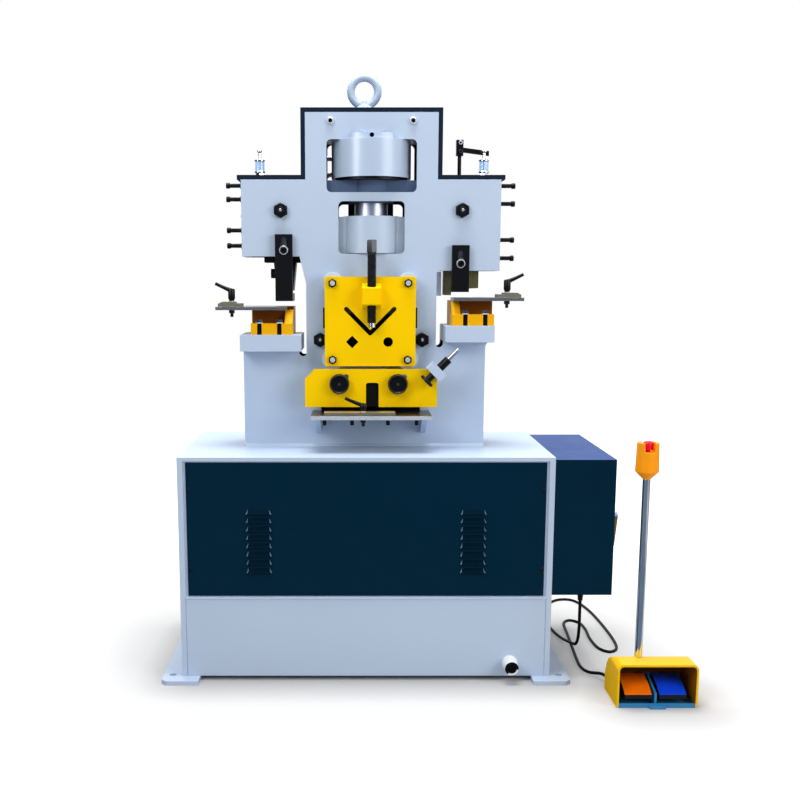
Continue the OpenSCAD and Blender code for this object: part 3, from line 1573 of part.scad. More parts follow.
module guard_knob(x) {
  y1 = guard_y0 - slip;
  color(black) difference() {
    translate([x, y1, knob_z]) rotate([90, 0, 0]) rotate_extrude() polygon([
      [0, 0], [knob_d / 2 - knob_rim / 2, 0], [knob_d / 2, knob_rim], [knob_d / 2, knob_h - knob_rim / 2],
      [knob_d / 2 - knob_rim / 2, knob_h], [knob_d / 2 - knob_rim, knob_h],
      [knob_d / 2 - knob_rim - knob_dish, knob_h - knob_dish], [0, knob_h - knob_dish]]);
    cyl_y(x, knob_z, guard_y0 - knob_stud_in - over, y1 + over, knob_stud_d + 2 * run_fit);
  }
}
module left_guard_knob() guard_knob(knob_x[0]);
module right_guard_knob() guard_knob(knob_x[1]);

// Flat-bar table with its brackets and the bolt ends under it
module flat_table() {
  z0 = flat_top - flat_t;
  x0 = shear_x - flat_w / 2;
  slot_y = flat_y0 + fence_in + fence_deep / 2;
  color(steel) {
    difference() {
      box3([x0, x0 + flat_w], [flat_y0, y_f0], [z0, flat_top]);
      box3([shear_x + flat_slot[0], shear_x + flat_slot[1]], about(slot_y, flat_slot_w),
           [z0 - over, flat_top + over]);
    }
    for (s = side)
      plate_yz(shear_x + s * bracket_x - bracket_t / 2, shear_x + s * bracket_x + bracket_t / 2)
        polygon([[y_f0, z0], [y_f0 - bracket_deep, z0], [y_f0, z0 - bracket_h]]);
    for (t = table_bolt_shares)
      cyl_z(shear_x + t * flat_w, flat_y0 + table_bolt_in, z0 - table_bolt_h, z0, table_bolt_d);
  }
}
module fence_bar() {
  z0 = flat_top + slip;
  y0 = flat_y0 + fence_in;
  color(steel) difference() {
    box3([fence_x0, fence_x0 + fence_len], [y0, y0 + fence_deep], [z0, z0 + fence_h]);
    cyl_z(fence_lever_x, y0 + fence_deep / 2, z0 - over, z0 + fence_h + over, stud_d + 2 * run_fit);
  }
}
module fence_lever() {
  z_top = flat_top + slip + fence_h + slip;
  tail = slip + fence_h + slip + flat_t + stud_tail;
  y = flat_y0 + fence_in + fence_deep / 2;
  color(black) {
    translate([fence_lever_x, y, z_top]) rotate(180) clamp_lever(fence_lever_len, fence_hub_h, tail);
    translate([fence_lever_x, y, flat_top - flat_t - slip - stud_nut_h])
      linear_extrude(stud_nut_h) hex(stud_nut_af);
  }
}

// Electrical box with its door
module electrical_box() {
  color(navy) {
    difference() {
      box3([box_x0, box_x1], [box_y0, box_y1], [box_z0, box_z1]);
      box3([box_x0 + box_wall, box_x1 + over], [box_y0 + box_wall, box_y1 - box_wall],
           [box_z0 + box_wall, box_z1 - box_wall]);
      cyl_z(gland_x, gland_y, box_z0 - over, box_z0 + box_wall + over, gland_thread_d + 2 * fit);
      cyl_x(box_x0 - over, box_x0 + box_wall + over, 0, cable_hole_z, cable_hole_d);
    }
    for (z = hinge_zs) {
      box3([hinge_x - hinge_leaf, hinge_x - slip], [box_y1, hinge_y], [z, z + hinge_h / 2]);
      cyl_z(hinge_x, hinge_y, z, z + hinge_h / 2, hinge_d);
      cyl_z(hinge_x, hinge_y, z, z + hinge_h, hinge_pin_d);
    }
  }
}
module box_door() {
  x0 = box_x1 + slip;
  x1 = x0 + door_t;
  color(navy) {
    difference() {
      box3([x0, x1], [box_y0, box_y1], [box_z0, box_z1]);
      box3([x0 - over, x1 - box_wall], inside([box_y0, box_y1], box_rim), inside([box_z0, box_z1], box_rim));
      cyl_x(x0 - over, x1 + over, latch_y, latch_z[1] - latch_pivot, latch_pin_d + 2 * run_fit);
    }
    for (z = hinge_zs) difference() {
      union() {
        box3([hinge_x, hinge_x + door_t / 2], [box_y1, hinge_y], [z + hinge_h / 2 + slip, z + hinge_h]);
        cyl_z(hinge_x, hinge_y, z + hinge_h / 2 + slip, z + hinge_h, hinge_d);
      }
      cyl_z(hinge_x, hinge_y, z + hinge_h / 2, z + hinge_h + over, hinge_pin_d + 2 * run_fit);
    }
  }
}
module door_handle() {
  x1 = box_x1 + slip + door_t;
  pivot_z = latch_z[1] - latch_pivot;
  color(steel) {
    cyl_x(x1 - door_t, x1 + slip, latch_y, pivot_z, latch_pin_d);
    cyl_x(x1 + slip, x1 + latch_out, latch_y, pivot_z, latch_w);
    plate_xz(latch_y - latch_w / 2, latch_y + latch_w / 2) polygon([
      [x1 + latch_out - latch_bar_t, pivot_z], [x1 + latch_out, pivot_z],
      [x1 + latch_gap + latch_bar_t, latch_z[0]], [x1 + latch_gap, latch_z[0]]]);
    box3([x1 - door_t, x1 - door_t + latch_bar_t], about(latch_y, latch_w),
         about(pivot_z, latch_w));
  }
}
// Mounting plate with its rails and a row of contactors on each
module electrics_plate() {
  x0 = box_x0 + box_wall + mount_off;
  x1 = x0 + mount_t;
  color(steel) {
    box3([x0, x1], inside([box_y0, box_y1], mount_edge), inside([box_z0, box_z1], mount_edge));
    for (y = inside([box_y0, box_y1], 2 * mount_edge), z = inside([box_z0, box_z1], 2 * mount_edge))
      cyl_x(box_x0 + box_wall, x0, y, z, standoff_d);
    for (z = rail_zs)
      box3([x1, x1 + rail_t], inside([box_y0, box_y1], 2 * mount_edge), about(z, rail_h));
  }
  color(black) for (z = rail_zs, k = [0 : relay_n - 1]) {
    y = box_y0 + 3 * mount_edge + k * relay_pitch;
    box3([x1 + rail_t, x1 + rail_t + relay_deep], [y, y + relay_w], about(z, relay_h));
  }
}
// Gland under the box and the connector on the pedal station
module cable_glands() {
  low = box_z0 - gland_len;
  color(black) {
    cyl_z(gland_x, gland_y, box_z0 - gland_nut_h, box_z0 + box_wall + gland_nut_h / 2, gland_thread_d);
    translate([gland_x, gland_y, box_z0 - gland_nut_h]) linear_extrude(gland_nut_h) hex(gland_nut_af);
    translate([gland_x, gland_y, low])
      cylinder(d1 = gland_cone_d, d2 = gland_thread_d, h = gland_len - gland_nut_h);
    cyl_y(conn_x, conn_z, hood_y1, hood_y1 + conn_len, conn_d);
  }
}

// Pedal station: base plate with the dividing wall and hinge pins, hood, pole and stop head
module pedal_base() {
  x0 = hood_x0 + hood_t;
  x1 = hood_x1 - hood_t;
  mid = hood_x0 + (ped_x[0] + ped_w + ped_x[1]) / 2;
  color([0.18, 0.47, 0.69]) {
    plate_xy(0, ped_plate_t) polygon([
      [x0, hood_y0], [hood_x0 + ped_tab_x, hood_y0], [hood_x0 + ped_tab_x, hood_y0 - ped_tab],
      [hood_x0 + ped_tab_x + ped_tab_w, hood_y0 - ped_tab], [hood_x0 + ped_tab_x + ped_tab_w, hood_y0],
      [x1, hood_y0], [x1, hood_y1 - hood_t], [x0, hood_y1 - hood_t]]);
    box3([x0, x1], [hood_y0, hood_y0 + ped_lip_t], [0, ped_lip_h]);
    plate_yz(mid - ped_mid_w / 2, mid + ped_mid_w / 2) polygon([
      [ped_y0, ped_plate_t], [ped_y1, ped_plate_t], [ped_y1 + ped_hinge_d, ped_hinge_z + ped_hinge_d],
      [ped_y1 - ped_hinge_d, ped_hinge_z + ped_hinge_d], [ped_y0, ped_mid_h - ped_hinge_d]]);
    for (k = [0, 1], e = [0, 1]) {
      ex = hood_x0 + ped_x[k] + e * ped_w + (e == 0 ? -ped_ear_w - slip : slip);
      box3([ex, ex + ped_ear_w], about(ped_y1, ped_ear_h),
           [ped_plate_t - over, ped_hinge_z + ped_ear_h / 2]);
      pin = hood_x0 + ped_x[k];
      cyl_x(pin - slip - over, pin + ped_w + slip + over, ped_y1, ped_hinge_z, ped_hinge_d / 2);
    }
  }
}
module pedal_guard() {
  color(yellow) difference() {
    hood_form(0) hood_profile(0);
    hood_form(hood_t) {
      hood_profile(hood_t);
      translate([hood_y0 - over, -over]) square([hood_t + 2 * over, hood_h - hood_t + over]);
      translate([hood_y0, -over]) square([hood_y1 - hood_y0 - hood_t, hood_t + 2 * over]);
    }
  }
}
// The hood's side outline across the machine, cut to its front outline
module hood_form(inset) {
  intersection() {
    plate_yz(hood_x0 - over, hood_x1 + over) children();
    plate_xz(hood_y0 - 2 * over, hood_y1 + over) hood_front(inset);
  }
}
// Front outline of the hood, its upper corners folded round in three flats
module hood_front(inset) {
  r = hood_r - inset;
  top = hood_h - inset;
  x = inside([hood_x0, hood_x1], inset);
  polygon(concat(
    [[x[0], -2 * over], [x[1], -2 * over]],
    [for (a = [0 : hood_step : 90]) [x[1] - r + r * cos(a), top - r + r * sin(a)]],
    [for (a = [90 : hood_step : 180]) [x[0] + r + r * cos(a), top - r + r * sin(a)]]));
}
// Side outline of the hood: flat on top, then round down to the back
module hood_profile(inset) {
  r = hood_y1 - hood_y0 - hood_flat - inset;
  top = hood_h - inset;
  translate([hood_y0 + inset, inset]) square([hood_flat - inset, top - inset]);
  translate([hood_y0 + hood_flat - over, inset]) square([r + over, top - r - inset]);
  intersection() {
    translate([hood_y0 + hood_flat, top - r]) circle(r);
    translate([hood_y0 + hood_flat - over, top - r]) square(r + over);
  }
}
module pedal(k, tint) {
  x0 = hood_x0 + ped_x[k];
  color(tint) difference() {
    union() {
      plate_yz(x0, x0 + ped_w) polygon(concat(
        [[ped_y0, ped_front_z - ped_t], [ped_y1, ped_hinge_z - ped_t / 2]],
        [for (k = [0 : ped_steps]) let (t = k / ped_steps)
          [ped_y1 + t * (ped_y0 - ped_y1), (1 - t) * (ped_hinge_z + ped_t / 2) + t * ped_front_z
           + 4 * t * (1 - t) * ped_crown]]));
      cyl_x(x0, x0 + ped_w, ped_y1, ped_hinge_z, ped_hinge_d);
    }
    cyl_x(x0 - over, x0 + ped_w + over, ped_y1, ped_hinge_z, ped_hinge_d / 2 + 2 * run_fit);
  }
}
module orange_pedal() pedal(0, "darkorange");
module blue_pedal() pedal(1, "royalblue");
module pedal_pole() {
  color(chrome) cyl_z(pole_x, pole_y, hood_h, pole_top, pole_d);
}
// Stop head: a cone under a cup that is cut into two prongs beside the button
module stop_head() {
  floor_z = pole_top + stop_cone + stop_floor;
  color("orange") difference() {
    union() {
      translate([pole_x, pole_y, pole_top]) cylinder(d1 = pole_d, d2 = stop_d, h = stop_cone);
      translate([pole_x, pole_y, pole_top + stop_cone])
        cylinder(d1 = stop_d, d2 = stop_d - stop_taper, h = stop_top - pole_top - stop_cone);
    }
    cyl_z(pole_x, pole_y, floor_z, stop_top + over, stop_d - 2 * stop_wall);
    box3(about(pole_x, stop_gap_w), about(pole_y, 2 * stop_d), [floor_z, stop_top + over]);
    cyl_z(pole_x, pole_y, floor_z - button_skirt - over, floor_z + over, button_stem_d + 2 * run_fit);
  }
}
module stop_button() {
  floor_z = pole_top + stop_cone + stop_floor;
  color("crimson") {
    cyl_z(pole_x, pole_y, floor_z + button_skirt / 2, button_top, button_d);
    cyl_z(pole_x, pole_y, floor_z - button_skirt / 2, floor_z + button_skirt / 2, button_stem_d);
  }
}

// Smooth curve through the cable's points, and one ring of the tube across it
function spline(p0, p1, p2, p3, t) =
  0.5 * (2 * p1 + (p2 - p0) * t + (2 * p0 - 5 * p1 + 4 * p2 - p3) * t * t
         + (3 * p1 - p0 - 3 * p2 + p3) * t * t * t);
function route_point(p, i, t) =
  let (n = len(p) - 1)
  spline(p[max(i - 1, 0)], p[i], p[min(i + 1, n)], p[min(i + 2, n)], t);
function unit(v) = v / norm(v);
function tube_ring(at, along) =
  let (u = unit(cross(along, abs(along[2]) > 0.9 ? [0, 1, 0] : [0, 0, 1])), w = cross(unit(along), u))
  [for (k = [0 : cable_sides - 1]) at + cable_d / 2 * (cos(k * 360 / cable_sides) * u
                                                      + sin(k * 360 / cable_sides) * w)];
module pedal_cable() {
  n = len(cable_route) - 1;
  path = concat([for (i = [0 : n - 1])
                   let (steps = max(1, round(norm(cable_route[i + 1] - cable_route[i]) / cable_ring)))
                   for (j = [0 : steps - 1]) route_point(cable_route, i, j / steps)],
                [cable_route[n]]);
  m = len(path);
  first = cable_route[1] - cable_route[0];
  last = cable_route[n] - cable_route[n - 1];
  points = [for (i = [0 : m - 1])
              each tube_ring(path[i], i == 0 ? first : i == m - 1 ? last : path[i + 1] - path[i - 1])];
  s = cable_sides;
  faces = concat(
    [[for (k = [0 : s - 1]) k]],
    [for (i = [0 : m - 2], k = [0 : s - 1]) each [
      [i * s + k, (i + 1) * s + (k + 1) % s, i * s + (k + 1) % s],
      [i * s + k, (i + 1) * s + k, (i + 1) * s + (k + 1) % s]]],
    [[for (k = [s - 1 : -1 : 0]) (m - 1) * s + k]]);
  color(black) polyhedron(points, faces);
}

base_cabinet();
foot_plates();
front_panel();
cap_screws();
oil_drain();
oil_tank();
power_pack();
front_frame_plate();
rear_frame_plate();
frame_spacers();
frame_covers();
lifting_eye();
adjusting_screws();
gib_strips();
oil_cups();
oil_glasses();
cylinder_barrel();
hydraulic_pipes();
piston_rod();
ram_head();
ram_slide();
moving_blades();
punch_holder();
notch_punch();
stroke_rod();
die_shelves();
die_holders();
hex_bolts();
dies();
work_tables();
left_stop();
right_stop();
left_stop_lever();
right_stop_lever();
left_stripper();
right_stripper();
section_cover();
fixed_blades();
hold_down_foot();
hold_down_screw();
flat_guard();
left_guard_knob();
right_guard_knob();
angle_screw();
flat_table();
fence_bar();
fence_lever();
electrical_box();
box_door();
door_handle();
electrics_plate();
cable_glands();
pedal_base();
pedal_guard();
orange_pedal();
blue_pedal();
pedal_pole();
stop_head();
stop_button();
pedal_cable();
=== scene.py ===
# %% [markdown]
# # Dressing a hydraulic ironworker
# The machine's solids, joints and sizes come from its CAD model. This notebook puts the finish on
# them: painted plate, ground and blackened steel, chrome, glass and plastic, and the small turned
# parts that a plain solid leaves out. Everything is in metres, in the model's own frame, with the
# origin on the floor, X to the right, Y to the back and Z up.

# %% Load the frame
import json
import math

import bmesh
import bpy
import numpy as np
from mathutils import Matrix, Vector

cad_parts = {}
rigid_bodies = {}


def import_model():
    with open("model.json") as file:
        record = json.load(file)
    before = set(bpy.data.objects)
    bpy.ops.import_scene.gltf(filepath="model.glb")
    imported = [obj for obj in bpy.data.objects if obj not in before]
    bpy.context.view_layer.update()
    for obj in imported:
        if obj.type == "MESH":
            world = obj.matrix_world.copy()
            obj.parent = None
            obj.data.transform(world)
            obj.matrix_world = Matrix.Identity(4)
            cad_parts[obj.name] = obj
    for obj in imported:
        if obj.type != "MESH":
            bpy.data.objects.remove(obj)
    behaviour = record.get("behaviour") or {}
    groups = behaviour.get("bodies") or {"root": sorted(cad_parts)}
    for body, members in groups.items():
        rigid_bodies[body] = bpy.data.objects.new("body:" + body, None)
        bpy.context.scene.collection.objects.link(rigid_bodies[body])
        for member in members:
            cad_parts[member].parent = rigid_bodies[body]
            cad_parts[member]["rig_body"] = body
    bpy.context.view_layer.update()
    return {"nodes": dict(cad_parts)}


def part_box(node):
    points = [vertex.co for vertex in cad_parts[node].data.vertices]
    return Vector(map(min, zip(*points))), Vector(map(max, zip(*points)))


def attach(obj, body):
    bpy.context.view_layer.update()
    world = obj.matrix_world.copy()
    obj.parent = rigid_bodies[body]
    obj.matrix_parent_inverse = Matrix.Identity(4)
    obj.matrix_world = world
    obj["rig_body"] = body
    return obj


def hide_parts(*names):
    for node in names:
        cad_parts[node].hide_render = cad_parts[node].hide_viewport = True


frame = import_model()
MM = 0.001

# %% [markdown]
# ## The camera
# A product photograph of a tall machine is usually taken from its middle height with a longish lens,
# and then cropped. The crop moves the picture's centre off the lens axis, and a camera's shift does
# the same. Focal length, pitch and place were fitted to the corners of the cabinet.

# %% Camera
PICTURE_SIDE = 800
FOCAL_PX = 1110.0
AXIS_PX = (353.0, 481.7)
SENSOR = 36.0
EYE = (-0.0395, -3.592, 1.213)
PITCH_DOWN = 10.1

camera_data = bpy.data.cameras.new("portrait_camera")
camera_data.sensor_width = SENSOR
camera_data.lens = FOCAL_PX / PICTURE_SIDE * SENSOR
camera_data.shift_x = (PICTURE_SIDE / 2 - AXIS_PX[0]) / PICTURE_SIDE
camera_data.shift_y = (AXIS_PX[1] - PICTURE_SIDE / 2) / PICTURE_SIDE
camera = bpy.data.objects.new("portrait_camera", camera_data)
camera.location = EYE
camera.rotation_euler = (math.radians(90 - PITCH_DOWN), 0, 0)
bpy.context.scene.collection.objects.link(camera)
bpy.context.scene.camera = camera
print("lens", round(camera_data.lens, 2), "shift", camera_data.shift_x, camera_data.shift_y)

# %% [markdown]
# ## Finishes from nodes
# A finish is more than a colour. Paint is a little uneven, its gloss wanders, its skin has the fine
# waves of spraying, and it is thinner and duller along edges. Each finish below is a short function
# on one shared base: the colour wanders with a soft noise, edges are found by comparing the true
# normal with one that a small bevel would give, and a fine noise drives roughness and bump.
# All patterns read Object coordinates, so they stay put when a part moves.

# %% Helpers for materials
# The sockets of a mix node that carry colours: two inputs and the output.
MIX_FIRST, MIX_SECOND, MIX_RESULT = 6, 7, 2


def linear(red, green, blue):
    """Screen colour, 0 to 255, to linear light: c/12.92 near black, else ((c+0.055)/1.055)^2.4."""
    c = np.array([red, green, blue]) / 255
    return tuple(np.where(c <= 0.04045, c / 12.92, ((c + 0.055) / 1.055) ** 2.4)) + (1.0,)


def shaded(colour, factor):
    """The same colour, lighter or darker by a factor."""
    return tuple(min(1.0, c * factor) for c in colour[:3]) + (1.0,)


class Nodes:
    """Short ways to add nodes to a tree."""

    def __init__(self, tree):
        self.tree = tree

    def add(self, kind, **settings):
        """A new node with its settings."""
        node = self.tree.nodes.new(kind)
        for key, value in settings.items():
            setattr(node, key, value)
        return node

    def link(self, source, target):
        """A wire from an output to an input."""
        self.tree.links.new(source, target)

    def feed(self, value, socket):
        """A number or colour set on an input, or an output wired to it."""
        if isinstance(value, (int, float, tuple)):
            socket.default_value = value
        else:
            self.link(value, socket)

    def between(self, source, low, high, start=0.0, end=1.0):
        """A number carried from the range start..end to low..high."""
        node = self.add("ShaderNodeMapRange")
        for key, value in (("From Min", start), ("From Max", end), ("To Min", low), ("To Max", high)):
            node.inputs[key].default_value = value
        self.link(source, node.inputs["Value"])
        return node.outputs["Result"]

    def mix(self, factor, first, second):
        """A colour between two, each a colour or an output."""
        node = self.add("ShaderNodeMix", data_type="RGBA")
        self.link(factor, node.inputs["Factor"])
        self.feed(first, node.inputs[MIX_FIRST])
        self.feed(second, node.inputs[MIX_SECOND])
        return node.outputs[MIX_RESULT]

    def math(self, operation, first, second=0.0):
        """Two numbers through a sum, product or other operation."""
        node = self.add("ShaderNodeMath", operation=operation)
        self.feed(first, node.inputs[0])
        self.feed(second, node.inputs[1])
        return node.outputs[0]


class Finish(Nodes):
    """A material, its place coordinates and short ways to patterns."""

    def __init__(self, name):
        self.material = bpy.data.materials.new(name)
        self.material.use_nodes = True
        super().__init__(self.material.node_tree)
        self.shader = self.tree.nodes["Principled BSDF"]
        self.place = self.add("ShaderNodeTexCoord").outputs["Object"]

    def noise(self, scale, detail=3.0, stretch=None):
        """Soft noise of so many waves a metre, pulled out along an axis by stretch."""
        node = self.add("ShaderNodeTexNoise")
        node.inputs["Scale"].default_value = scale
        node.inputs["Detail"].default_value = detail
        source = self.place
        if stretch:
            turn = self.add("ShaderNodeMapping")
            turn.inputs["Scale"].default_value = stretch
            self.link(source, turn.inputs["Vector"])
            source = turn.outputs["Vector"]
        self.link(source, node.inputs["Vector"])
        return node.outputs["Fac"]

    def along(self, axis):
        """The Object coordinate along axis 0, 1 or 2, in metres."""
        split = self.add("ShaderNodeSeparateXYZ")
        self.link(self.place, split.inputs["Vector"])
        return split.outputs[axis]

    def coat(self, colour, roughness):
        """The outputs that give the shader its colour and roughness."""
        self.link(colour, self.shader.inputs["Base Color"])
        self.link(roughness, self.shader.inputs["Roughness"])

    def edges(self, radius, strength=6.0):
        """How near an edge is: one minus the dot of the true normal and a bevelled one, times strength."""
        round_normal = self.add("ShaderNodeBevel", samples=4)
        round_normal.inputs["Radius"].default_value = radius
        flat = self.add("ShaderNodeNewGeometry").outputs["Normal"]
        dot = self.add("ShaderNodeVectorMath", operation="DOT_PRODUCT")
        self.link(round_normal.outputs["Normal"], dot.inputs[0])
        self.link(flat, dot.inputs[1])
        return self.between(dot.outputs["Value"], strength, 0.0, 0.0, 1.0)

    def bump(self, height, strength, distance):
        """Fine relief from a height."""
        node = self.add("ShaderNodeBump")
        node.inputs["Strength"].default_value = strength
        node.inputs["Distance"].default_value = distance
        self.link(height, node.inputs["Height"])
        self.link(node.outputs["Normal"], self.shader.inputs["Normal"])

    def set(self, **values):
        """Values that are the same all over, straight on the shader."""
        for key, value in values.items():
            self.shader.inputs[key.replace("_", " ")].default_value = value


print("helpers ready")

# %% [markdown]
# ## Paint
# Machine paint is a semi-gloss enamel. Sprayed on, it keeps a faint orange peel about two
# millimetres across. Handling dulls it in patches, and the edges of plates show a slightly paler line.

# %% Painted steel
def enamel(name, colour, gloss=0.38, peel=0.06, worn=0.35, drift=0.05, shine=0.3, wander=0.08):
    """Enamel: colour times 1 +- drift over broad noise, paler at edges, orange peel as bump."""
    f = Finish(name)
    colour = linear(*colour)
    broad = f.noise(2.3, 4.0)
    coat = f.mix(broad, shaded(colour, 1 - drift), shaded(colour, 1 + drift))
    rubbed = f.math("MULTIPLY", f.edges(0.0025, 3.0), f.noise(60.0, 4.0))
    rubbed = f.between(rubbed, 0.0, worn, 0.05, 0.5)
    dust = f.between(f.noise(9.0, 6.0), 0.0, 0.10, 0.45, 0.8)
    coat = f.mix(dust, coat, shaded(colour, 0.82))
    f.coat(f.mix(rubbed, coat, shaded(colour, 1.35)),
           f.between(f.noise(14.0, 5.0), gloss - wander, gloss + wander))
    f.bump(f.noise(420.0, 2.0), peel, 0.0006)
    f.set(Specular_IOR_Level=shine)
    return f.material


FRAME_PAINT = enamel("frame_paint", (186, 203, 226), shine=0.35)
NAVY_PAINT = enamel("navy_paint", (1, 37, 58), gloss=0.34, worn=0.6, shine=0.06)
# A darker and a paler navy for the louvres: painted shade on their slopes, painted highlight at their ends.
LOUVRE_SHADE = enamel("louvre_shade", (0, 26, 42), gloss=0.5, shine=0.02)
LOUVRE_HIGHLIGHT = enamel("louvre_highlight", (60, 100, 124), gloss=0.25, shine=0.5)
SLATE_PAINT = enamel("slate_paint", (22, 35, 53), gloss=0.42, shine=0.08)
# A paler blue for the top of the electrical box: painted light.
BOX_TOP_LIGHT = enamel("box_top_light", (38, 68, 126), gloss=0.45, shine=0.1)
CYLINDER_PAINT = enamel("cylinder_paint", (180, 198, 222), gloss=0.30, peel=0.02, drift=0.02, shine=0.7,
                        wander=0.01)
CAST_PAINT = enamel("cast_paint", (176, 194, 220), gloss=0.42, peel=0.5, drift=0.12, shine=0.3)
HOOD_PAINT = enamel("hood_paint", (238, 186, 4), gloss=0.36, drift=0.05, shine=0.12)
YELLOW_PAINT = enamel("yellow_paint", (255, 206, 0), gloss=0.40, drift=0.03, shine=0.06)
# A darker yellow-brown for the inside of the pedal hood: painted shade.
HOOD_INSIDE_SHADE = enamel("hood_inside_shade", (150, 92, 12), gloss=0.6, shine=0.1)
AMBER_PAINT = enamel("amber_paint", (240, 176, 6), gloss=0.42, shine=0.1)
# A dark brown for the die holders' recess under the tables: painted shade.
RECESS_SHADE = enamel("recess_shade", (128, 72, 8), gloss=0.5, shine=0.05)
# Near black for the windows' side walls, the inner side of the rear plate and the oil port's hole: painted
# shade.
SHADE_DARK = enamel("shade_dark", (24, 32, 48), gloss=0.5, shine=0.05)
# A mid blue-grey for the seat under the cylinder and the cylinder's neck: painted shade.
SEAT_SHADE = enamel("seat_shade", (92, 112, 146), gloss=0.5, shine=0.05)
BLUE_PAINT = enamel("blue_paint", (52, 128, 182), gloss=0.42, shine=0.2)
MOTOR_PAINT = enamel("motor_paint", (96, 112, 128), gloss=0.5, shine=0.2)
print("paints", len(bpy.data.materials))

# %% [markdown]
# ## Bare and blackened steel
# Ground steel carries fine parallel scratches; blackened steel is a thin dark oxide that wears back
# to bright metal on edges. Both come from one function: stretched noise makes the scratches, and the
# edge finder brings the bright metal through. The work tables also have a ruler cut along their front
# edge: a stroke every five millimetres where the coordinate's share of a step is small.

# %% Steel
BRIGHT = (214, 214, 216)
FINE = 900.0
TICK_STEP = 0.005
TICK_SHARE = 0.16
RULER_DEPTH = 0.012


def machined(name, colour, bright, gloss, metallic=1.0, grain=(FINE, 30.0, FINE), worn=0.6, scratch=0.10,
             ruler=None, shine=0.5):
    """Steel: colour between two shades along stretched noise, brighter edges, scratches as bump."""
    f = Finish(name)
    colour = linear(*colour)
    lines = f.noise(1.0, 3.0, grain)
    stain = f.between(f.noise(18.0, 5.0), 0.0, 0.55, 0.35, 0.75)
    base = f.mix(lines, shaded(colour, 0.82), shaded(colour, 1.12))
    base = f.mix(stain, base, shaded(colour, 0.72))
    edge = f.between(f.math("MULTIPLY", f.edges(0.0015, 4.0), f.noise(130.0, 4.0)), 0.0, worn, 0.08, 0.6)
    base = f.mix(edge, base, linear(*bright))
    if ruler is not None:
        share = f.math("FRACT", f.math("DIVIDE", f.along(0), TICK_STEP))
        stroke = f.math("LESS_THAN", share, TICK_SHARE)
        near = f.math("LESS_THAN", f.along(1), ruler + RULER_DEPTH)
        base = f.mix(f.math("MULTIPLY", stroke, near), base, shaded(colour, 0.08))
    f.coat(base, f.between(lines, gloss - 0.06, gloss + 0.12))
    f.set(Metallic=metallic, Specular_IOR_Level=shine)
    f.bump(lines, scratch, 0.0003)
    return f.material


TABLE_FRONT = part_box("work_tables")[0][1]
ALONG_X = (30.0, FINE, FINE)
SPANGLE = (120.0, 120.0, 120.0)
LATHE = (600.0, 600.0, 12.0)
PLAIN_STEEL = machined("plain_steel", (196, 199, 206), BRIGHT, 0.30)
TABLE_STEEL = machined("table_steel", (150, 150, 156), BRIGHT, 0.36, grain=ALONG_X, ruler=TABLE_FRONT)
FENCE_STEEL = machined("fence_steel", (190, 178, 150), BRIGHT, 0.34, grain=ALONG_X)
SHEAR_STEEL = machined("shear_steel", (96, 96, 100), BRIGHT, 0.26, grain=ALONG_X)
TOOL_STEEL = machined("tool_steel", (120, 120, 126), BRIGHT, 0.34)
DARK_STEEL = machined("dark_steel", (12, 11, 12), (60, 60, 64), 0.58, 0.2, worn=0.2, shine=0.1)
BLACK_STEEL = machined("black_steel", (10, 11, 15), (110, 114, 124), 0.36, 0.2, worn=0.45,
                       shine=0.22)
BLUED_STEEL = machined("blued_steel", (44, 54, 72), (150, 160, 176), 0.36, 0.7)
OLIVE_STEEL = machined("olive_steel", (112, 108, 70), (190, 186, 150), 0.46, 0.4)
STOP_STEEL = machined("stop_steel", (120, 116, 100), BRIGHT, 0.55, 0.2, shine=0.2)
GALVANISED = machined("galvanised", (186, 190, 196), BRIGHT, 0.42, grain=SPANGLE)
BRIGHT_ZINC = machined("bright_zinc", (224, 230, 240), BRIGHT, 0.34, 0.5, grain=SPANGLE)
BROWNED_STEEL = machined("browned_steel", (46, 36, 32), (130, 110, 96), 0.42, 0.6)
LATCH_STEEL = machined("latch_steel", (140, 158, 180), BRIGHT, 0.28, 0.9)
CHROME = machined("chrome", (222, 227, 234), BRIGHT, 0.10, grain=LATHE, scratch=0.02)
ROD_CHROME = machined("rod_chrome", (186, 192, 210), BRIGHT, 0.36, grain=LATHE, scratch=0.02)
BRONZE = machined("bronze", (176, 132, 70), (226, 190, 120), 0.36)
print("metals", len(bpy.data.materials))

# %% [markdown]
# ## Plastic, rubber and glass
# Moulded plastic has a very fine even grain from the mould, rubber is duller with a chalky bloom, and
# the oil cups are thin clear tubes.

# %% Moulded materials
def moulded(name, colour, gloss, grain=FINE, relief=0.05, bloom=0.12, shine=0.2):
    """Moulded plastic: an even colour with a faint bloom, paler along edges as a painted highlight, fine
    mould grain as bump.
    """
    f = Finish(name)
    colour = linear(*colour)
    haze = f.between(f.noise(25.0, 5.0), 0.0, bloom, 0.4, 0.8)
    # Paler along every edge: a painted highlight.
    glint_rim = f.between(f.edges(0.002, 3.0), 0.0, 0.25, 0.05, 0.8)
    coat = f.mix(haze, colour, shaded(colour, 0.7))
    f.coat(f.mix(glint_rim, coat, shaded(colour, 1.3)), f.between(f.noise(40.0, 4.0), gloss - 0.05, gloss + 0.08))
    f.bump(f.noise(grain, 2.0), relief, 0.0003)
    f.set(Specular_IOR_Level=shine)
    return f.material


WHITE_PLASTIC = moulded("white_plastic", (232, 236, 240), 0.35)
BLACK_PLASTIC = moulded("black_plastic", (8, 8, 11), 0.32, relief=0.02, shine=0.22)
